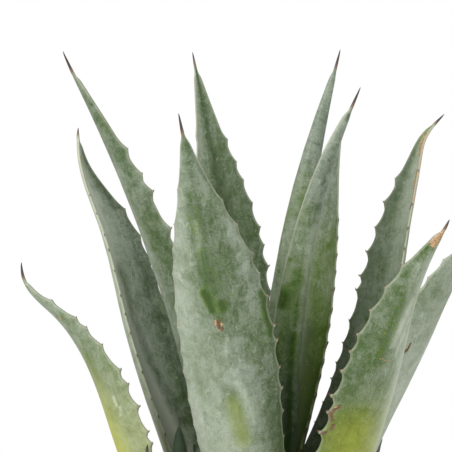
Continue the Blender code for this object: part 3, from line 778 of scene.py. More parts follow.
def matte_paper(look):
    """Seamless studio paper, plain: pale and matt, with nothing on it for the eye to follow."""
    finish, node = blank_material("matte_paper_floor")
    node(OUTPUT, node(SURFACE, look.floor, Roughness=0.9))
    return finish


# ---------------------------------------------------------------- pieces
def placed(name, data):
    """A new object at the origin of the scene."""
    item = bpy.data.objects.new(name, data)
    bpy.context.scene.collection.objects.link(item)
    return item


def new_piece(name, mesh, finish, nodes=()):
    """A finished piece at the origin that rides on the plant's one body and stands for its CAD nodes."""
    mesh.materials.clear()
    mesh.materials.append(finish)
    piece = placed(name, mesh)
    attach(piece, "root")
    if nodes:
        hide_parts(*nodes)


def applied(item):
    """The plain mesh that an object's modifiers make.  The object itself is removed."""
    graph = bpy.context.evaluated_depsgraph_get()
    mesh = bpy.data.meshes.new_from_object(item.evaluated_get(graph), preserve_all_data_layers=True,
                                           depsgraph=graph)
    item.modifiers.clear()
    bpy.data.objects.remove(item)
    return mesh


def write_layer(mesh, key, values):
    """Write one number or one vector for each point into a mesh."""
    values = np.asarray(values, np.float32).reshape(len(mesh.vertices), -1)
    kind, field = ("FLOAT_VECTOR", "vector") if values.shape[1] == 3 else ("FLOAT", "value")
    mesh.attributes.new(key, kind, "POINT").data.foreach_set(field, values.ravel())


def closed_mesh(name, rows, layers=None):
    """A mesh through rings of equally many points, closed at both ends, with its faces turned outwards.
    layers are its attributes, as one value for each point of the rings; an end's middle point takes its
    ring's mean."""
    rings, around = len(rows), len(rows[0])
    points = np.concatenate([np.concatenate(rows), [np.mean(rows[0], axis=0)], [np.mean(rows[-1], axis=0)]])
    faces = []
    for i in range(rings - 1):
        for k in range(around):
            j = (k + 1) % around
            faces.append((i * around + k, i * around + j, (i + 1) * around + j, (i + 1) * around + k))
    first, last = rings * around, rings * around + 1
    for k in range(around):
        j = (k + 1) % around
        faces.append((first, j, k))
        faces.append((last, (rings - 1) * around + k, (rings - 1) * around + j))
    # the signed volume tells whether the faces point inwards
    corners = np.array([face[:3] for face in faces] + [(f[0], f[2], f[3]) for f in faces if len(f) == 4])
    a, b, c = (points[corners[:, k]] for k in range(3))
    if np.einsum("ij,ij->i", a, np.cross(b, c)).sum() < 0:
        faces = [face[::-1] for face in faces]
    mesh = bpy.data.meshes.new(name)
    mesh.from_pydata([tuple(p) for p in points], [], faces)
    for key, values in (layers or {}).items():
        flat = np.asarray(values, float).reshape(rings * around, -1)
        write_layer(mesh, key, np.concatenate([flat, [flat[:around].mean(0), flat[-around:].mean(0)]]))
    mesh.shade_smooth()
    mesh.update()
    return mesh


# ---------------------------------------------------------------- leaves
def unit(v):
    return v / np.linalg.norm(v)


def smooth(low, high, value):
    share = np.clip((value - low) / (high - low), 0, 1)
    return share * share * (3 - 2 * share)


def along(values, t):
    """A value given at the stem, in the middle and at the tip, eased between them."""
    low, s = (0, 2 * t) if t < 0.5 else (1, 2 * t - 1)
    return values[low] + (values[low + 1] - values[low]) * s * s * (3 - 2 * s)


def midrib(path):
    """The natural cubic spline through the path's rows, as close rows spaced evenly along it, and its
    length."""
    rows = np.array(path, float)
    n = len(rows)
    span = np.linalg.norm(np.diff(rows[:, :3], axis=0), axis=1)
    knots = np.concatenate([[0], np.cumsum(span)])
    matrix = np.eye(n)
    rises = np.zeros(rows.shape)
    for i in range(1, n - 1):
        matrix[i, i - 1:i + 2] = span[i - 1], 2 * (span[i - 1] + span[i]), span[i]
        rises[i] = 6 * ((rows[i + 1] - rows[i]) / span[i] - (rows[i] - rows[i - 1]) / span[i - 1])
    bend = np.linalg.solve(matrix, rises)
    u = np.linspace(0, knots[-1], MIDRIB_STEPS + 1)
    i = np.clip(np.searchsorted(knots, u, side="right") - 1, 0, n - 2)
    a = ((knots[i + 1] - u) / span[i])[:, None]
    b = 1 - a
    pull = (span[i] ** 2 / 6)[:, None]
    fine = a * rows[i] + b * rows[i + 1] + pull * ((a ** 3 - a) * bend[i] + (b ** 3 - b) * bend[i + 1])
    run = np.concatenate([[0], np.cumsum(np.linalg.norm(np.diff(fine[:, :3], axis=0), axis=1))])
    even = np.linspace(0, run[-1], MIDRIB_STEPS + 1)
    return np.column_stack([np.interp(even, run, fine[:, k]) for k in range(4)]), run[-1]


class Blade:
    """One leaf's shape: where each place on its two faces lies, in millimetres."""

    def __init__(self, row, seed):
        self.row = row
        self.seed = seed
        self.skin = YOUNG_SKIN if row.name.startswith("offset") else SKINS.get(row.name, Skin())
        self.line, self.length = midrib(row.path)
        self.blade_share = 1 - row.spine / self.length
        spread = np.random.default_rng(seed)
        self.teeth = []
        for low, high, count, bite, *rise in self.skin.teeth:
            step = (high - low) / max(count - 1, 1)
            shares = low + step * (np.arange(count) + spread.uniform(-TOOTH_STRAY, TOOTH_STRAY, count))
            place = (shares - low) / (high - low)
            # the largest teeth stand in the middle of the margin
            sizes = 0.62 + 0.5 * np.sin(pi * np.clip(place * 0.8 + 0.15, 0, 1))
            sizes = sizes * spread.uniform(*TOOTH_SPREAD, count)
            cusps = sizes * np.interp(place, (0, 1), rise)
            self.teeth.append(list(zip(shares, sizes * bite, cusps, [step * self.length] * count)))

    def frame_at(self, t):
        """The midrib's point, the blade's width, and the directions to its face, its side and its tip."""
        i = min(int(t * MIDRIB_STEPS), MIDRIB_STEPS - 1)
        here = self.line[i] + (self.line[i + 1] - self.line[i]) * (t * MIDRIB_STEPS - i)
        tangent = unit(self.line[min(i + AHEAD, MIDRIB_STEPS), :3] - self.line[max(i - BEHIND, 0), :3])
        azimuth = radians(self.row.azimuth)
        inward = np.array([-cos(azimuth), -sin(azimuth), 0.0])
        face = unit(inward - inward.dot(tangent) * tangent)
        return here[:3], here[3], face, np.cross(face, tangent), tangent

    def half_width(self, t):
        """Half of the blade's width with the slight waves of its margin."""
        width = self.frame_at(t)[1]
        below = max(0.0, self.blade_share - t) * self.length
        most = SPINE_THICKNESS + self.row.flare[0] * below + self.row.flare[1] * below ** 2
        # the narrower of the two, with a soft change from one to the other
        width = (max(width, 1) ** -6 + most ** -6) ** (-1 / 6)
        wave = noise.noise(Vector((t * self.length / MARGIN_WAVE_LENGTH, self.seed * 3.1, 0.0)))
        return max(width, SPINE_THICKNESS) / 2 * (1 + MARGIN_WAVE * wave)

    def cusp(self, t, margin):
        """How far the margin stands out towards the nearest tooth: steeply above the tooth and fully below
        it."""
        out = 0.0
        for share, _, height, step in self.teeth[margin]:
            reach, fade = CUSP_ABOVE if t > share else CUSP_BELOW
            out = max(out, height * max(0.0, 1 - abs(t - share) * self.length / (reach * step)) ** fade)
        return out

    def ring(self, t, across):
        """The inner face's points from one margin to the other, and the outer face's, at a share of the
        length."""
        here, _, face, side, _ = self.frame_at(t)
        share = min(t / self.blade_share, 1.0)
        on_spine = max(0.0, (t - self.blade_share) / (1 - self.blade_share))
        spine = SPINE_THICKNESS * (1 - on_spine) ** 0.7 + SPINE_POINT_THICKNESS * on_spine
        half = self.half_width(t) if on_spine == 0 else spine / 2
        middle = spine + (self.row.thick - SPINE_THICKNESS) * (1 - share) ** 0.9
        margin = min(MARGIN_THICKNESS, middle / 2)
        curl = radians(along(self.row.cup, t))
        radius = half / curl
        blade_end = self.length - self.row.spine
        rounding = smooth(blade_end - SPINE_BLEND, blade_end, t * self.length)
        centre = here - face * spine / 2
        cusps = (self.cusp(t, 0), self.cusp(t, 1))
        inner, outer = [], []
        for u in np.linspace(-1, 1, across):
            # the blade lies on an arc, with cusps at its margins and soft ripples over its face
            angle = u * curl
            spot = here + side * radius * sin(angle) + face * radius * (1 - cos(angle))
            up = face * cos(angle) - side * sin(angle)
            outward = (side * cos(angle) + face * sin(angle)) * (1 if u > 0 else -1)
            spot = spot + outward * cusps[u > 0] * smooth(0.72, 1, abs(u))
            ripple = noise.noise(Vector((u * half / RIPPLE_WIDTH, t * self.length / RIPPLE_LENGTH,
                                         self.seed * 5.3)))
            spot = spot + up * ripple * RIPPLE_HEIGHT * (1 - share ** 4) * (1 - abs(u) ** 3)
            back = spot - up * (margin + (middle - margin) * (1 - u * u) ** 0.8)
            if rounding > 0:
                # near the spine both faces turn into its round section
                turn = u * pi / 2
                reach = spine / 2
                top = centre + side * reach * sin(turn) + face * reach * cos(turn)
                low = centre + side * reach * sin(turn) - face * reach * cos(turn)
                spot = spot + (top - spot) * rounding
                back = back + (low - back) * rounding
            inner.append(spot)
            outer.append(back)
        return inner, outer

    def tooth_places(self):
        """Where each tooth stands on the margins: its foot, the way out, the way to the tip and its
        size."""
        for margin, turn in ((0, -1), (1, 1)):
            for share, size, _, _ in self.teeth[margin]:
                inner, outer = self.ring(share, 3)
                _, _, face, side, tangent = self.frame_at(share)
                curl = radians(along(self.row.cup, share))
                # outwards along the blade's face, and a little towards its tip
                away = side * cos(curl) * turn + face * sin(curl)
                out = unit(away * TOOTH_AIM[0] + tangent * TOOTH_AIM[1])
                k = 0 if turn < 0 else -1
                yield (inner[k] + outer[k]) / 2 - out * TOOTH_SINK, out, tangent, size


def blades(rows, first_seed):
    return [Blade(row, seed) for seed, row in enumerate(rows, first_seed)]


def stroke(kind, wide, line, ts, us, halves, length):
    """How fully a mark covers each place on a face, from 0 to 1."""
    x, y = us * halves, ts * length
    points = [(u * np.interp(t, ts[:, 0], halves[:, 0]), t * length) for t, u in line]
    nearest = np.full(x.shape, np.inf)
    for (ax, ay), (bx, by) in zip(points, points[1:]):
        run = (bx - ax) ** 2 + (by - ay) ** 2
        share = np.clip(((x - ax) * (bx - ax) + (y - ay) * (by - ay)) / run, 0, 1)
        nearest = np.minimum(nearest, np.hypot(x - ax - share * (bx - ax), y - ay - share * (by - ay)))
    gone, full = CRISP if kind in ("dry", "scar") else SOFT
    return smooth(wide * gone, wide * full, nearest)


def painted(blade, ts, us, halves, face):
    """The skin's attributes over one face, as arrays of one value for each place."""
    row, skin, length = blade.row, blade.skin, blade.length
    outside = face == "outer"
    # the rows and columns of levels hold painted shade and light as well as the bloom's thickness
    low, middle, high = (np.interp(us, COLUMNS, level) for level in (skin.outer if outside else skin.inner))
    rise = np.interp(ts, ROWS, (-1, 0, 1))
    reach, strength = skin.flush
    blank = np.zeros(us.shape)
    coat = {"cover": middle + np.where(rise < 0, (middle - low) * rise, (high - middle) * rise),
            "green": blank + skin.green[0 if outside else 1], "rub": blank + WORN, "dry": blank,
            "scar": blank, "fresh": np.interp(us, COLUMNS, strength) * smooth(reach, reach * 0.35, ts)}
    if not outside:
        coat["fresh"] *= INNER_FLUSH
    for kind, strength, wide, line in MARKS.get((row.name, face), ()):
        value = strength * stroke(kind, wide, line, ts, us, halves, length)
        if kind in ("rub", "cover", "green"):
            coat[kind] = coat[kind] + value
        else:
            coat[kind] = np.maximum(coat[kind], value)
        if kind == "rub":
            coat["cover"] = coat["cover"] - value * THINNED
    for margin, edge_u in enumerate((-1, 1)):
        for share, size, *_ in blade.teeth[margin]:
            away = np.hypot((us - edge_u) * halves, (ts - share) * length * 0.6)
            coat["scar"] = np.maximum(coat["scar"], min(size - 0.5, 0.9) * smooth(*TOOTH_STAIN, away))
    from_edge = (1 - np.abs(us)) * halves
    strong = np.where(us < 0, skin.edge[0], skin.edge[1])
    coat["edge"] = strong * smooth(*EDGE_LINE, from_edge) * smooth(0.0, 0.06, 1 - ts)
    coat["horn"] = skin.horn * np.clip(1 - (1 - ts) * length / (row.spine + HORN_BELOW), 0, 1)
    return coat


def stem_radius(z):
    """The stem's radius at a height: straight in the soil, then narrowing to its top."""
    share = min(max((z - SOIL_LEVEL) / (STEM_TOP - SOIL_LEVEL), 0.0), 1.0)
    return STEM_RADIUS + (STEM_TOP_RADIUS - STEM_RADIUS) * share


def rooted(points, direction):
    """A leaf's first ring drawn back along the leaf until each point is just inside the stem or the
    soil."""
    ready = []
    inside = ROOT_REACH * MM
    for point in points:
        back = 0.0
        while back < CLASP * MM:
            x, y, z = point - direction * back
            if (x * x + y * y) ** 0.5 < stem_radius(z) - inside or z < SOIL_LEVEL - inside:
                break
            back += ROOT_STEP * MM
        ready.append(point - direction * back)
    return np.array(ready)


def leaf_mesh(blade, across=POINTS_ACROSS, spacing=STATION_SPACING):
    """A leaf's closed skin with everything that its material reads painted into it."""
    count = max(FEWEST_STATIONS, int(blade.length * blade.blade_share / spacing))
    ts = blade.blade_share * np.arange(count) / (count - 1)
    for share, *_ in blade.teeth[0] + blade.teeth[1]:
        ts[np.argmin(np.abs(ts - share))] = share
    up_spine = np.arange(1, SPINE_STATIONS + 1) / SPINE_STATIONS
    ts = np.concatenate([ts, blade.blade_share + (1 - blade.blade_share) * up_spine])
    grid_t, grid_u = np.meshgrid(ts, np.linspace(-1, 1, across), indexing="ij")
    halves = np.repeat([[blade.half_width(t)] for t in ts], across, axis=1)
    rows = []
    for t in ts:
        inner, outer = blade.ring(t, across)
        rows.append(np.array(inner + outer[::-1]) * MM)
    rows.insert(0, rooted(rows[0], unit(blade.line[AHEAD, :3] - blade.line[0, :3])))
    coats = []
    for face, lift in (("inner", 0.0), ("outer", 0.4)):
        coat = painted(blade, grid_t, grid_u, halves, face)
        # the blade laid flat, in metres, and lifted so that no two faces share a pattern
        coat["blade"] = np.stack([grid_u * halves * MM, grid_t * blade.length * MM,
                                  np.full(grid_u.shape, blade.seed + lift)], axis=2)
        coats.append(coat)
    layers = {}
    for key in (*SKIN_PAINT, "blade"):
        both = np.concatenate([coats[0][key], coats[1][key][:, ::-1]], axis=1)
        layers[key] = np.concatenate([both[:1], both])
    return closed_mesh(blade.row.name, rows, layers)


def spear_mesh():
    """The young leaves still rolled together: a slim point whose outer edge winds round it."""
    rise = SPEAR_TOP - SPEAR_FOOT
    size = (SPEAR_RINGS, SPEAR_SIDES)
    rows, layers = [], {key: np.zeros(size) for key in SKIN_PAINT}
    layers["green"] += 0.5
    layers["blade"] = np.zeros((*size, 3))
    for i in range(SPEAR_RINGS):
        share = SPEAR_CUT * i / (SPEAR_RINGS - 1)
        radius = SPEAR_RADIUS * np.interp(share, *zip(*SPEAR_OUTLINE))
        layers["horn"][i] = max(0.0, 1 - (1 - share) * rise / SPEAR_HORN)
        ring = []
        for k in range(SPEAR_SIDES):
            angle = 2 * pi * k / SPEAR_SIDES
            wound = ((angle / (2 * pi)) + share * SPEAR_TURNS) % 1
            r = radius * (1 - SPEAR_LAP + SPEAR_LAP * wound)
            ring.append((r * cos(angle), r * sin(angle), SPEAR_FOOT + rise * share))
            layers["cover"][i, k] = 0.35 + 0.3 * wound
            layers["edge"][i, k] = 0.4 if wound > 0.96 else 0.0
            layers["blade"][i, k] = (r * angle, rise * share, SPEAR_SEED)
        rows.append(np.array(ring))
    return closed_mesh("rolled_spear", rows, layers)


# ---------------------------------------------------------------- growing repeated shapes
def sockets(tree, inputs):
    """The outputs that hold a geometry tree's inputs: its geometry, and each (name, kind, default)
    given."""
    tree.interface.new_socket("Geometry", in_out="OUTPUT", socket_type="NodeSocketGeometry")
    tree.interface.new_socket("Geometry", in_out="INPUT", socket_type="NodeSocketGeometry")
    for name, kind, value in inputs:
        socket = tree.interface.new_socket(name, in_out="INPUT", socket_type="NodeSocket" + kind)
        if value is not None:
            socket.default_value = value
    return add(tree, "NodeGroupInput").node.outputs


def finish_tree(node, many, given):
    """Make the many shapes real, give them their finish and let them out of the tree."""
    real = node("GeometryNodeRealizeInstances", many)
    node("NodeGroupOutput", node("GeometryNodeSetMaterial", real, Material=given["Finish"]))


def tooth_tree():
    """Teeth on points: a flattened cone with a hooked tip, turned to the margin and a little different each
    time. The points carry the way out, the way to the leaf's tip and the size."""
    tree = bpy.data.node_groups.new("marginal_teeth", "GeometryNodeTree")
    node = partial(add, tree)
    given = sockets(tree, (("Length", "Float", 0.004), ("Foot", "Float", 0.002), ("Hook", "Float", 0.3),
                           ("Flatness", "Float", 0.5), ("Seed", "Int", 0), ("Finish", "Material", None)))
    spread = ((-0.12, 0.12), (-0.30, 0.30), (0.85, 1.15))
    seeds = [node(SUM, given["Seed"], salt) for salt in range(1, len(spread) + 1)]
    roll, pitch, growth = (
        node(CHANCE, low, high, Seed=seed) for (low, high), seed in zip(spread, seeds))
    out, up, size = (node(READ, name, data_type=kind) for name, kind in (
        ("out", "FLOAT_VECTOR"), ("up", "FLOAT_VECTOR"), ("size", "FLOAT")))

    cone = node("GeometryNodeMeshCone", Vertices=8, Side_Segments=4, Radius_Bottom=given["Foot"],
                Depth=given["Length"])
    x, y, z = node(SPLIT, node(PLACE)).node.outputs
    share = node(RATIO, z, given["Length"])
    bend = node(PRODUCT, node(POWER, share, 2.0), given["Length"])
    bend = node(WEIGHED, bend, given["Hook"], x)
    bent = node(JOIN, bend, node(PRODUCT, y, given["Flatness"]), z)
    tooth = node(WRITE, cone, Name="horn", Value=share, domain="POINT")
    tooth = node(MOVE, tooth, Position=bent)
    turn = node(ALIGN, Vector=out, axis="Z")
    turn = node(ALIGN, Rotation=turn, Vector=up, axis="X", pivot_axis="Z")
    lean = node(TURN, node(JOIN, roll, pitch))
    turn = node("FunctionNodeRotateRotation", turn, lean, rotation_space="LOCAL")
    many = node(COPIES, Points=given["Geometry"], Instance=tooth, Rotation=turn,
                Scale=node(PRODUCT, size, growth))
    finish_tree(node, many, given)
    return tree


def grit_tree():
    """Grit over the top of the soil: rough grains scattered at random turns and sizes, clear of the
    stem."""
    tree = bpy.data.node_groups.new("top_grit", "GeometryNodeTree")
    node = partial(add, tree)
    given = sockets(tree, (("Density", "Float", 1000.0), ("Grain", "Float", 0.003),
                           ("Lowest", "Float", 0.0), ("Widest", "Float", 0.1),
                           ("Narrowest", "Float", 0.0), ("Seed", "Int", 0), ("Finish", "Material", None)))
    spread = ((0.5, 1.9), (0.5, 1.3), (0.4, 0.9), (-0.5, 0.5), (-0.5, 0.5), (0.0, 2 * pi), (0.0, 1.0))
    seeds = [node(SUM, given["Seed"], salt) for salt in range(1, len(spread) + 1)]
    length, width, height, roll, pitch, yaw, tint = (
        node(CHANCE, low, high, Seed=seed) for (low, high), seed in zip(spread, seeds))

    place = node(PLACE)
    x, y, z = node(SPLIT, place).node.outputs
    reach = node(WEIGHED, x, x, node(PRODUCT, y, y))
    reach = node(ROOT, reach)
    within = node(ABOVE, z, given["Lowest"])
    for limit, side in (("Widest", BELOW), ("Narrowest", ABOVE)):
        within = node(PRODUCT, within, node(side, reach, given[limit]))
    spots = node("GeometryNodeDistributePointsOnFaces", given["Geometry"], Selection=within,
                 Density=given["Density"], Seed=given["Seed"], distribute_method="RANDOM")
    grain = node("GeometryNodeMeshIcoSphere", Radius=0.5, Subdivisions=1)
    dent = node("ShaderNodeTexWhiteNoise", place, noise_dimensions="3D", out="Color")
    dent = node("ShaderNodeVectorMath operation=SUBTRACT", dent, (0.5, 0.5, 0.5))
    dent = node(SCALED, dent, Scale=0.4)
    grain = node(MOVE, grain, Offset=dent)
    shape = node(SCALED, node(JOIN, length, width, height), Scale=given["Grain"])
    many = node(COPIES, Points=spots, Instance=grain,
                Rotation=node(TURN, node(JOIN, roll, pitch, yaw)), Scale=shape)
    many = node(WRITE, many, Name="tint", Value=tint, domain="INSTANCE")
    finish_tree(node, many, given)
    return tree


def grown(name, start, tree, values):
    """A piece from a geometry tree run over a starting mesh, made a plain mesh.  values are the tree's
    inputs."""
    seedling = placed(name + "_seed", start)
    grow = seedling.modifiers.new(name, "NODES")
    grow.node_group = tree
    for item in tree.interface.items_tree:
        if item.in_out == "INPUT" and item.name in values:
            grow[item.identifier] = values[item.name]
    mesh = applied(seedling)
    if not mesh.polygons:
        raise RuntimeError(name + " came out empty")
    mesh.name = name
    new_piece(name, mesh, values["Finish"])


# ---------------------------------------------------------------- turned shapes
def rounded(corners):
    """A profile with each corner (radius, height, round) eased by an arc of the given round."""
    ready = []
    for k, (r, z, round_radius) in enumerate(corners):
        corner = np.array((r, z), float)
        if round_radius == 0:
            ready.append(tuple(corner))
            continue
        before = unit(np.array(corners[k - 1][:2]) - corner)
        after = unit(np.array(corners[k + 1][:2]) - corner)
        half = np.arccos(np.clip(before.dot(after), -1, 1)) / 2
        first, last = (corner + way * round_radius / np.tan(half) for way in (before, after))
        centre = corner + unit(before + after) * round_radius / sin(half)
        for i in range(ARC_STEPS + 1):
            share = i / ARC_STEPS
            point = unit(first * (1 - share) + last * share - centre)
            ready.append(tuple(centre + point * round_radius))
    return ready


def finer(profile, longest):
    """A profile with no step longer than the given length."""
    ready = [profile[0]]
    for (r0, z0), (r1, z1) in zip(profile, profile[1:]):
        parts = max(1, int(np.hypot(r1 - r0, z1 - z0) / longest))
        ready += [(r0 + (r1 - r0) * k / parts, z0 + (z1 - z0) * k / parts) for k in range(1, parts + 1)]
    return ready


def turned_mesh(name, profile, sides, shift):
    """A closed mesh turned about Z from a profile of (radius, height) that starts and ends on the axis.
    shift(angle, radius, height) gives a small change of radius and height at a place."""
    rows = []
    for r, z in profile[1:-1]:
        ring = []
        for k in range(sides):
            angle = 2 * pi * k / sides
            out, rise = shift(angle, r, z)
            ring.append(((r + out) * cos(angle), (r + out) * sin(angle), z + rise))
        rows.append(np.array(ring))
    return closed_mesh(name, rows)


def bumps(angle, radius, height, size_mm, salt=0.0):
    """Smooth noise from -1 to 1 over a turned shape, with bumps about size_mm across."""
    spot = Vector((radius * cos(angle), radius * sin(angle), height)) * (1000 / size_mm)
    return noise.noise(spot + Vector((salt, salt, salt)))


def pot_inside(z):
    """The radius of the pot's inside at a height."""
    low, high = (POT_FLOOR, POT_FLOOR_RADIUS), (POT_WAIST, POT_WAIST_RADIUS)
    if z > POT_WAIST:
        low, high = high, (POT_HEIGHT, POT_RIM_RADIUS - POT_WALL)
    return low[1] + (high[1] - low[1]) * (z - low[0]) / (high[0] - low[0])


def pot_mesh():
    """A plain clay pot with a banded rim, thrown with faint wheel rings, and drain holes through its
    floor."""
    profile = finer(rounded((
        (0, 0, 0),
        (POT_FOOT_RADIUS, 0, POT_ROUND),
        (POT_SHOULDER_RADIUS, POT_SHOULDER, POT_ROUND / 2),
        (POT_BAND_RADIUS, POT_SHOULDER, POT_ROUND),
        (POT_RIM_RADIUS, POT_HEIGHT, POT_ROUND),
        (POT_RIM_RADIUS - POT_WALL, POT_HEIGHT, POT_ROUND),
        (POT_WAIST_RADIUS, POT_WAIST, 0),
        (POT_FLOOR_RADIUS, POT_FLOOR, POT_ROUND * 2),
        (0, POT_FLOOR, 0),
    )), POT_STEP)

    def hand(angle, r, z):
        # the foot stays flat, and the floor plain where the holes are drilled
        if z < 0.0005 or r < 0.03:
            return 0.0, 0.0
        ring = WHEEL_RING * sin(z * 2 * pi / WHEEL_RING_SPACING)
        return POT_DENT * bumps(angle, r, z, POT_DENT_SIZE_MM) - POT_INSET + ring, 0.0

    body = placed("pot_blank", turned_mesh("pot_blank", profile, POT_SIDES, hand))
    holes = bmesh.new()
    for k in range(DRAIN_COUNT):
        turn = 2 * pi * (k + 0.5) / DRAIN_COUNT
        place = Matrix.Translation((DRAIN_CIRCLE * cos(turn), DRAIN_CIRCLE * sin(turn), POT_FLOOR / 2))
        bmesh.ops.create_cone(holes, cap_ends=True, segments=DRAIN_SIDES, radius1=DRAIN_RADIUS,
                              radius2=DRAIN_RADIUS, depth=POT_FLOOR * 3, matrix=place)
    drill_mesh = bpy.data.meshes.new("drill")
    holes.to_mesh(drill_mesh)
    holes.free()
    drill = placed("drill", drill_mesh)
    cut = body.modifiers.new("drain_holes", "BOOLEAN")
    cut.operation = "DIFFERENCE"
    cut.solver = "EXACT"
    cut.object = drill
    pierced = applied(body)
    bpy.data.objects.remove(drill)
    pierced.set_sharp_from_angle(angle=radians(50))
    return pierced


def soil_mesh():
    """The soil: a plain body below, and a crumbly, slightly crowned top with the stem's socket in it."""
    bottom = POT_FLOOR + CLEARANCE
    edge = SOIL_LEVEL - SOIL_CROWN
    socket_floor = SOIL_LEVEL - STEM_ROOT_DEPTH - CLEARANCE
    side = [(0, bottom), (pot_inside(bottom) - CLEARANCE - POT_ROUND * 2, bottom),
            (pot_inside(bottom + POT_ROUND * 2) - CLEARANCE - 0.001, bottom + POT_ROUND * 2),
            (pot_inside(POT_WAIST) - CLEARANCE, POT_WAIST), (pot_inside(edge) - CLEARANCE, edge)]
    top = finer([side[-1], (pot_inside(edge) * 0.75, SOIL_LEVEL - SOIL_CROWN * 0.35),
                 (STEM_SOCKET, SOIL_LEVEL)], FINE_STEP)
    profile = side + top[1:] + [(STEM_SOCKET, socket_floor), (0, socket_floor)]

    def crumbs(angle, r, z):
        # only the top is crumbly, and not where it meets the pot and the stem
        if z < edge - 0.0001 or r < STEM_SOCKET + 0.001 or r > pot_inside(edge) - 0.001:
            return 0.0, 0.0
        return 0.0, sum(height * bumps(angle, r, 0, size, salt) for height, size, salt in SOIL_CRUMBS)

    return turned_mesh("soil_bed", profile, SOIL_SIDES, crumbs)


def stem_mesh():
    """The short stem, ringed with the torn feet of old leaves."""
    root = SOIL_LEVEL - STEM_ROOT_DEPTH
    profile = finer([(0, root), (STEM_RADIUS * 0.9, root),
                     (STEM_RADIUS, SOIL_LEVEL - STEM_ROOT_DEPTH * 0.9), (STEM_RADIUS, SOIL_LEVEL),
                     (STEM_TOP_RADIUS, STEM_TOP), (0, STEM_TOP)], FINE_STEP)

    def torn(angle, r, z):
        shelf = (z * 1000 / LEAF_SCAR_SPACING_MM + 0.35 * sin(3 * angle + z * 90)) % 1
        depth = -LEAF_SCAR_DEPTH * shelf + STEM_ROUGHNESS * bumps(angle, r, z, STEM_BUMP_SIZE_MM)
        return depth * min(1, r / 0.01), 0.0

    return turned_mesh("leaf_scarred_stem", profile, STEM_SIDES, torn)


# ---------------------------------------------------------------- the stage
def lay_floor(look):
    mesh = bpy.data.meshes.new("studio_floor")
    turns = [2 * pi * k / FLOOR_SIDES for k in range(FLOOR_SIDES)]
    ring = [(FLOOR_RADIUS * cos(turn), FLOOR_RADIUS * sin(turn), 0) for turn in turns]
    mesh.from_pydata(ring, [], [tuple(range(FLOOR_SIDES))])
    mesh.materials.append(matte_paper(look))
    placed("studio_floor", mesh)


def light_studio(look):
    """A white room that the eye sees brighter than the plant feels it, with a key and a fill light in
    it."""
    world = bpy.data.worlds.new("white_surroundings")
    world.use_nodes = True
    world.node_tree.nodes.clear()
    node = partial(add, world.node_tree)
    seen = node(BACKGROUND, (1, 1, 1), Strength=1.0)
    felt = node(BACKGROUND, look.tone, Strength=look.air)
    direct = node("ShaderNodeLightPath", out="Is Camera Ray")
    node("ShaderNodeOutputWorld", node("ShaderNodeMixShader", direct, felt, seen))
    bpy.context.scene.world = world
    for name, power, size, place in (("key_light", look.key, KEY_SIZE, KEY_PLACE),
                                     ("fill_light", look.fill, FILL_SIZE, FILL_PLACE)):
        light = bpy.data.lights.new(name, "AREA")
        light.energy = power
        light.size = size
        lamp = placed(name, light)
        lamp.location = place
        lamp.rotation_euler = (AIM - Vector(place)).to_track_quat("-Z", "Y").to_euler()


def set_camera(scene):
    camera = bpy.data.cameras.new("camera")
    camera.lens = SENSOR_MM * CAMERA_DISTANCE / VIEW_WIDTH
    camera.clip_end = CAMERA_RANGE
    eye = placed("camera", camera)
    down = radians(CAMERA_PITCH)
    eye.location = AIM + Vector((0, -cos(down), sin(down))) * CAMERA_DISTANCE
    eye.rotation_euler = (pi / 2 - down, 0, 0)
    scene.camera = eye
    scene.view_settings.view_transform = "Standard"


# ---------------------------------------------------------------- operators
class AGAVE_OT_leaves(bpy.types.Operator):
    """Build the big leaves, each with its spine"""
    bl_idname = "agave.leaves"
    bl_label = "Leaves"

    def execute(self, context):
        skin = grown_leaf_skin(context.scene.agave_leaf)
        for blade in blades(LEAVES, LEAF_SEED):
            new_piece(blade.row.name + "_skin", leaf_mesh(blade), skin, [blade.row.name])
        return {"FINISHED"}


class AGAVE_OT_offsets(bpy.types.Operator):
    """Build the small leaves of the offsets at the plant's foot"""
    bl_idname = "agave.offsets"
    bl_label = "Offsets"

    def execute(self, context):
        look = context.scene.agave_leaf
        ramp = ((0.0, look.young_flesh), (1.0, look.young_bloom))
        skin = waxy_skin("young_leaf_skin", ramp, ramp, look)
        for blade in blades(OFFSET_LEAVES, OFFSET_SEED):
            mesh = leaf_mesh(blade, OFFSET_POINTS_ACROSS)
            new_piece(blade.row.name + "_skin", mesh, skin, [blade.row.name])
        return {"FINISHED"}


class AGAVE_OT_teeth(bpy.types.Operator):
    """Grow the teeth along the leaf margins"""
    bl_idname = "agave.teeth"
    bl_label = "Teeth"

    def execute(self, context):
        look = context.scene.agave_tooth
        leaves = blades(LEAVES, LEAF_SEED) + blades(OFFSET_LEAVES, OFFSET_SEED)
        feet, *columns = zip(*(place for blade in leaves for place in blade.tooth_places()))
        points = bpy.data.meshes.new("tooth_places")
        points.from_pydata([tuple(foot * MM) for foot in feet], [], [])
        for key, values in zip(("out", "up", "size"), columns):
            write_layer(points, key, values)
        values = {"Length": look.length, "Foot": look.width, "Seed": look.seed, "Finish": tooth_horn(look)}
        grown("marginal_teeth", points, tooth_tree(), values)
        return {"FINISHED"}


class AGAVE_OT_stem(bpy.types.Operator):
    """Build the stem, the rolled spear of young leaves and the dried leaf"""
    bl_idname = "agave.stem"
    bl_label = "Stem"

    def execute(self, context):
        look = context.scene.agave_leaf
        new_piece("leaf_scarred_stem", stem_mesh(), stem_fibre(look), ["stem"])
        new_piece("rolled_spear", spear_mesh(), grown_leaf_skin(look), ["leaf_spear"])
        husk = leaf_mesh(Blade(DRIED_LEAF, DRIED_SEED), DRIED_POINTS_ACROSS, DRIED_STATION_SPACING)
        new_piece("leaf_dried_husk", husk, husk_skin(look), ["leaf_dried"])
        return {"FINISHED"}


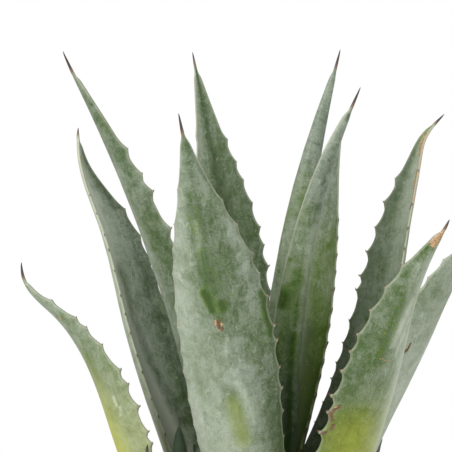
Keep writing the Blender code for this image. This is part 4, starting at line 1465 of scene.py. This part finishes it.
class AGAVE_OT_soil(bpy.types.Operator):
    """Fill the pot with soil and scatter grit over it"""
    bl_idname = "agave.soil"
    bl_label = "Soil"

    def execute(self, context):
        look = context.scene.agave_soil
        bed = soil_mesh()
        # the grit lies on the top only, and clear of the pot and the stem
        values = {"Density": look.grains, "Grain": look.grain, "Lowest": SOIL_LEVEL - SOIL_CROWN - 0.002,
                  "Widest": pot_inside(SOIL_LEVEL) - 0.005, "Narrowest": STEM_RADIUS + 0.001,
                  "Seed": look.seed, "Finish": loose_grit(look)}
        grown("top_grit", bed.copy(), grit_tree(), values)
        new_piece("soil_bed", bed, potting_mix(look), ["soil"])
        return {"FINISHED"}


class AGAVE_OT_pot(bpy.types.Operator):
    """Throw the clay pot"""
    bl_idname = "agave.pot"
    bl_label = "Pot"

    def execute(self, context):
        new_piece("clay_pot", pot_mesh(), fired_clay(context.scene.agave_pot), ["pot"])
        return {"FINISHED"}


class AGAVE_OT_stage(bpy.types.Operator):
    """Lay the pale floor and set the studio light and the camera"""
    bl_idname = "agave.stage"
    bl_label = "Stage"

    def execute(self, context):
        look = context.scene.agave_stage
        lay_floor(look)
        light_studio(look)
        set_camera(context.scene)
        return {"FINISHED"}


class AGAVE_PT_panel(bpy.types.Panel):
    """The agave's settings and its build steps"""
    bl_idname = "AGAVE_PT_panel"
    bl_label = "Potted Agave"
    bl_space_type = "VIEW_3D"
    bl_region_type = "UI"
    bl_category = "Agave"

    def draw(self, context):
        for name, group in GROUPS.items():
            box = self.layout.box()
            for key in group.__annotations__:
                box.prop(getattr(context.scene, name), key)
        for step in STEPS:
            self.layout.operator(step.bl_idname)


STEPS = (AGAVE_OT_leaves, AGAVE_OT_teeth, AGAVE_OT_offsets, AGAVE_OT_stem, AGAVE_OT_soil, AGAVE_OT_pot,
         AGAVE_OT_stage)
GROUPS = {"agave_leaf": LeafLook, "agave_tooth": ToothLook, "agave_pot": PotLook, "agave_soil": SoilLook,
          "agave_stage": StageLook}
CLASSES = (*GROUPS.values(), *STEPS, AGAVE_PT_panel)


def register():
    for kind in CLASSES:
        bpy.utils.register_class(kind)
    for name, group in GROUPS.items():
        setattr(bpy.types.Scene, name, PointerProperty(type=group))


def unregister():
    for name in GROUPS:
        delattr(bpy.types.Scene, name)
    for kind in reversed(CLASSES):
        bpy.utils.unregister_class(kind)


def main():
    register()
    bpy.ops.agave.leaves()
    bpy.ops.agave.teeth()
    bpy.ops.agave.offsets()
    bpy.ops.agave.stem()
    bpy.ops.agave.soil()
    bpy.ops.agave.pot()
    bpy.ops.agave.stage()


if __name__ == "__main__":
    main()
